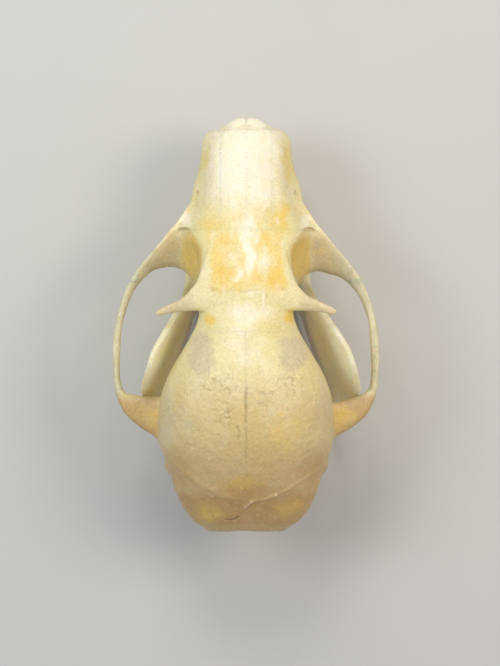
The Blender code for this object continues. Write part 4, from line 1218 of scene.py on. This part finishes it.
def painted_board(paint):
    """Matt paint on a studio board. It gives the eye a plain pale ground with a faint roller grain,
    so that only the skull's own shadow shows on it."""
    material, tree, shader = new_material("painted_board")
    clouds = pattern(tree, "TexNoise", 30.0, {"Detail": 3.0})
    grain = pattern(tree, "TexNoise", 0.5, {"Detail": 4.0, "Roughness": 0.7})
    shade = add(tree, "MapRange", clouds, 0.3, 0.7, 0.96, 1.0)
    over = {0: 1.0, 6: (*paint, 1.0), 7: shade}
    depth = {"Strength": 0.25, "Distance": 0.02 * MM, "Height": grain}
    fill(tree, shader, {
        "Base Color": add(tree, "Mix", inputs=over, output=2, data_type="RGBA", blend_type="MULTIPLY"),
        "Normal": add(tree, "Bump", inputs=depth),
        "Roughness": 0.85,
    })
    return material


def crown(sizes, side, gum, direction):
    """Crown of a tooth: walls that swell above a neck and draw in to the biting surface, which
    closes over an outer and an inner cusp with a groove between them. Its tip leans by a power of
    the height, so that the tooth curves."""
    out, back, height, half_out, half_back, tip_share, lean_out, lean_back = sizes
    t = np.linspace(0, 1, CROWN_STEPS)[:, None]
    wall, cap = np.clip(t / WALL_SHARE, 0, 1), np.clip((t - WALL_SHARE) / (1 - WALL_SHARE), 0, 1)
    girth = 0.84 + 0.16 * np.sin(np.clip(wall * 1.7, 0, 1) * math.pi) - (1 - tip_share) * wall**1.7
    size = np.maximum(girth * np.sqrt(np.clip(1 - cap**1.6, 0, 1)), 0.004)
    across, along = circle(CROWN_SIDES, 0.85)
    u, v = (size / max(tip_share, 0.2) * part for part in (across, along))
    cusps = sum(
        share * np.exp(-((u - at_u) / half_u) ** 2 - ((v - at_v) / half_v) ** 2)
        for at_u, half_u, at_v, half_v, share in CUSPS
    )
    level = -ROOT_DEPTH + (0.82 * height + ROOT_DEPTH) * wall
    level = level + 0.18 * height * (cap**0.7 * 0.4 + cusps * wall * 0.6 if tip_share > 0.4 else cap)
    lean = wall**1.6
    return skin(
        side * (out + lean_out * lean + half_out * size * across),
        back + lean_back * lean + half_back * size * along,
        gum + direction * level,
    )


def finish_piece(name, mesh, node, maker, settle=None):
    """Finished piece from a mesh in skull millimetres: true size and place, tints mended along the
    cuts, soft shading with crisp edges where it was parted. Its material is made only once."""
    mend_tints(mesh)
    points = points_of(mesh)
    if settle:
        points = settle(points)
    set_points(mesh, ORIGIN + points * MM)
    mesh.materials.clear()
    mesh.materials.append(bpy.data.materials.get(maker.__name__) or maker())
    mesh.shade_smooth()
    mesh.set_sharp_from_angle(angle=math.radians(50))
    mesh.update()
    piece = placed(name, mesh)
    if node:
        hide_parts(node)
    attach(piece, "root")


def finish_bone(name, mesh, settle=None):
    """Finished bone in place of the node of that name."""
    finish_piece(f"{name}_bone", mesh, name, bleached_bone, settle)


def tooth_row(name, rows, side, gum, direction, settle=None):
    """All crowns of one side of a jaw as one piece."""
    mesh = mesh_of(name, *joined([crown(sizes, side, gum, direction) for sizes in rows]))
    finish_piece(name, mesh, None, enamel, settle)


class SkullSettings(bpy.types.PropertyGroup):
    """Sizes and colours of the stage that a user may change."""

    table_colour: bpy.props.FloatVectorProperty(
        name="Table colour", description="Colour of the table under the skull",
        default=linear("#c9c9c9")[:3], size=3, subtype="COLOR", min=0.0, max=1.0,
    )
    key_power: bpy.props.FloatProperty(
        name="Key light", description="Power of the large light in front of the nose",
        default=0.058, min=0.0, unit="POWER",
    )
    fill_strength: bpy.props.FloatProperty(
        name="Fill light", description="Strength of the even light from all round",
        default=0.46, min=0.0,
    )


class SKULL_OT_cranium(bpy.types.Operator):
    """Build the bones of the upper skull"""

    bl_idname = "skull.cranium"
    bl_label = "Upper skull bones"

    def execute(self, context):
        body = whole_cranium()
        set_tints(body, cranium_tints(body))
        for kind, outline, start, end in BONES:
            pair = [(f"{kind}_{word}", side) for word, side in SIDES]
            for name, side in [(kind, LEFT)] if start == SINGLE else pair:
                finish_bone(name, part_off(body, prism(outline, start, end, side)))
        finish_bone(LAST_BONE, body.data)
        bpy.data.objects.remove(body)
        return {"FINISHED"}


class SKULL_OT_jaw(bpy.types.Operator):
    """Build the two halves of the lower jaw"""

    bl_idname = "skull.jaw"
    bl_label = "Lower jaw bones"

    def execute(self, context):
        body = whole_jaw()
        set_tints(body, jaw_tints(body))
        for word, side in SIDES:
            half = part_off(body, prism(JAW_OUTLINE, PAIR, FAR, side))
            finish_bone(f"mandible_{word}", half, shifted_jaw)
        bpy.data.objects.remove(body)
        return {"FINISHED"}


class SKULL_OT_teeth(bpy.types.Operator):
    """Build the crowns of the upper and lower teeth"""

    bl_idname = "skull.teeth"
    bl_label = "Teeth"

    def execute(self, context):
        for word, side in SIDES:
            tooth_row(f"upper_teeth_{word}", UPPER_TEETH, side, UPPER_GUM, -1)
            tooth_row(f"lower_teeth_{word}", LOWER_TEETH, side, LOWER_GUM, 1, shifted_jaw)
        return {"FINISHED"}


def real_place(out, back, up):
    """Point in metres from its distances on the skull."""
    return tuple(ORIGIN + np.array((out, back, up)) * MM)


def add_light(name, place, target, size, power, colour):
    """Square area light at a place, turned to a target."""
    data = bpy.data.lights.new(name, "AREA")
    data.size = size * MM
    data.energy = power
    data.color = linear(colour)[:3]
    light = placed(name, data)
    light.location = real_place(*place)
    out, back, up = np.array(real_place(*target)) - np.array(light.location)
    tilt, turn = math.atan2(math.hypot(out, back), -up), math.atan2(-out, back)
    light.rotation_euler = (tilt, 0.0, turn)


def add_camera(scene):
    """Camera over the skull that looks straight down, with the photograph's scale and framing."""
    data = bpy.data.cameras.new("camera")
    data.sensor_fit = "HORIZONTAL"
    data.sensor_width = SENSOR_WIDTH
    data.lens = SENSOR_WIDTH * (CAMERA_UP - SCALE_UP) / (FRAME_WIDTH / PIXELS_PER_MM)
    data.clip_start = NEAREST
    camera = placed("camera", data)
    out = (TIP_PIXEL[0] - FRAME_WIDTH / 2) / PIXELS_PER_MM
    back = (FRAME_HEIGHT / 2 - TIP_PIXEL[1]) / PIXELS_PER_MM
    camera.location = real_place(out, back, CAMERA_UP)
    camera.rotation_euler = (0.0, 0.0, math.pi)
    scene.camera = camera


class SKULL_OT_stage(bpy.types.Operator):
    """Set up the table, the lights and the camera of the photograph"""

    bl_idname = "skull.stage"
    bl_label = "Table, lights and camera"

    def execute(self, context):
        scene, settings = context.scene, context.scene.skull
        corners = np.array(((-1, -1), (1, -1), (1, 1), (-1, 1))) * TABLE_REACH * MM
        points = np.hstack((corners, np.full((4, 1), CAD_LOW[2])))
        table = placed("table", mesh_of("table", points, np.array([[0, 1, 2, 3]])))
        table.data.materials.append(painted_board(settings.table_colour))
        table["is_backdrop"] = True

        scene.world = bpy.data.worlds.new("studio")
        scene.world.use_nodes = True
        background = scene.world.node_tree.nodes["Background"]
        background.inputs[0].default_value = linear(AIR_COLOUR)
        background.inputs[1].default_value = settings.fill_strength
        for name, place, target, size, share, colour in LIGHTS:
            add_light(name, place, target, size, settings.key_power * share, colour)
        add_camera(scene)
        scene.view_settings.view_transform = "Standard"
        return {"FINISHED"}


class SKULL_PT_panel(bpy.types.Panel):
    """Lists the steps of the skull in the sidebar"""

    bl_idname = "SKULL_PT_panel"
    bl_label = "Bat skull"
    bl_space_type = "VIEW_3D"
    bl_region_type = "UI"
    bl_category = "Skull"

    def draw(self, context):
        for prop in ("table_colour", "key_power", "fill_strength"):
            self.layout.prop(context.scene.skull, prop)
        for step in STEPS:
            self.layout.operator(step.bl_idname)


STEPS = (SKULL_OT_cranium, SKULL_OT_jaw, SKULL_OT_teeth, SKULL_OT_stage)


def register():
    for made in (SkullSettings, *STEPS, SKULL_PT_panel):
        bpy.utils.register_class(made)
    bpy.types.Scene.skull = bpy.props.PointerProperty(type=SkullSettings)


def unregister():
    del bpy.types.Scene.skull
    for made in (SKULL_PT_panel, *reversed(STEPS), SkullSettings):
        bpy.utils.unregister_class(made)


def main():
    register()
    bpy.ops.skull.cranium()
    bpy.ops.skull.jaw()
    bpy.ops.skull.teeth()
    bpy.ops.skull.stage()


if __name__ == "__main__":
    main()
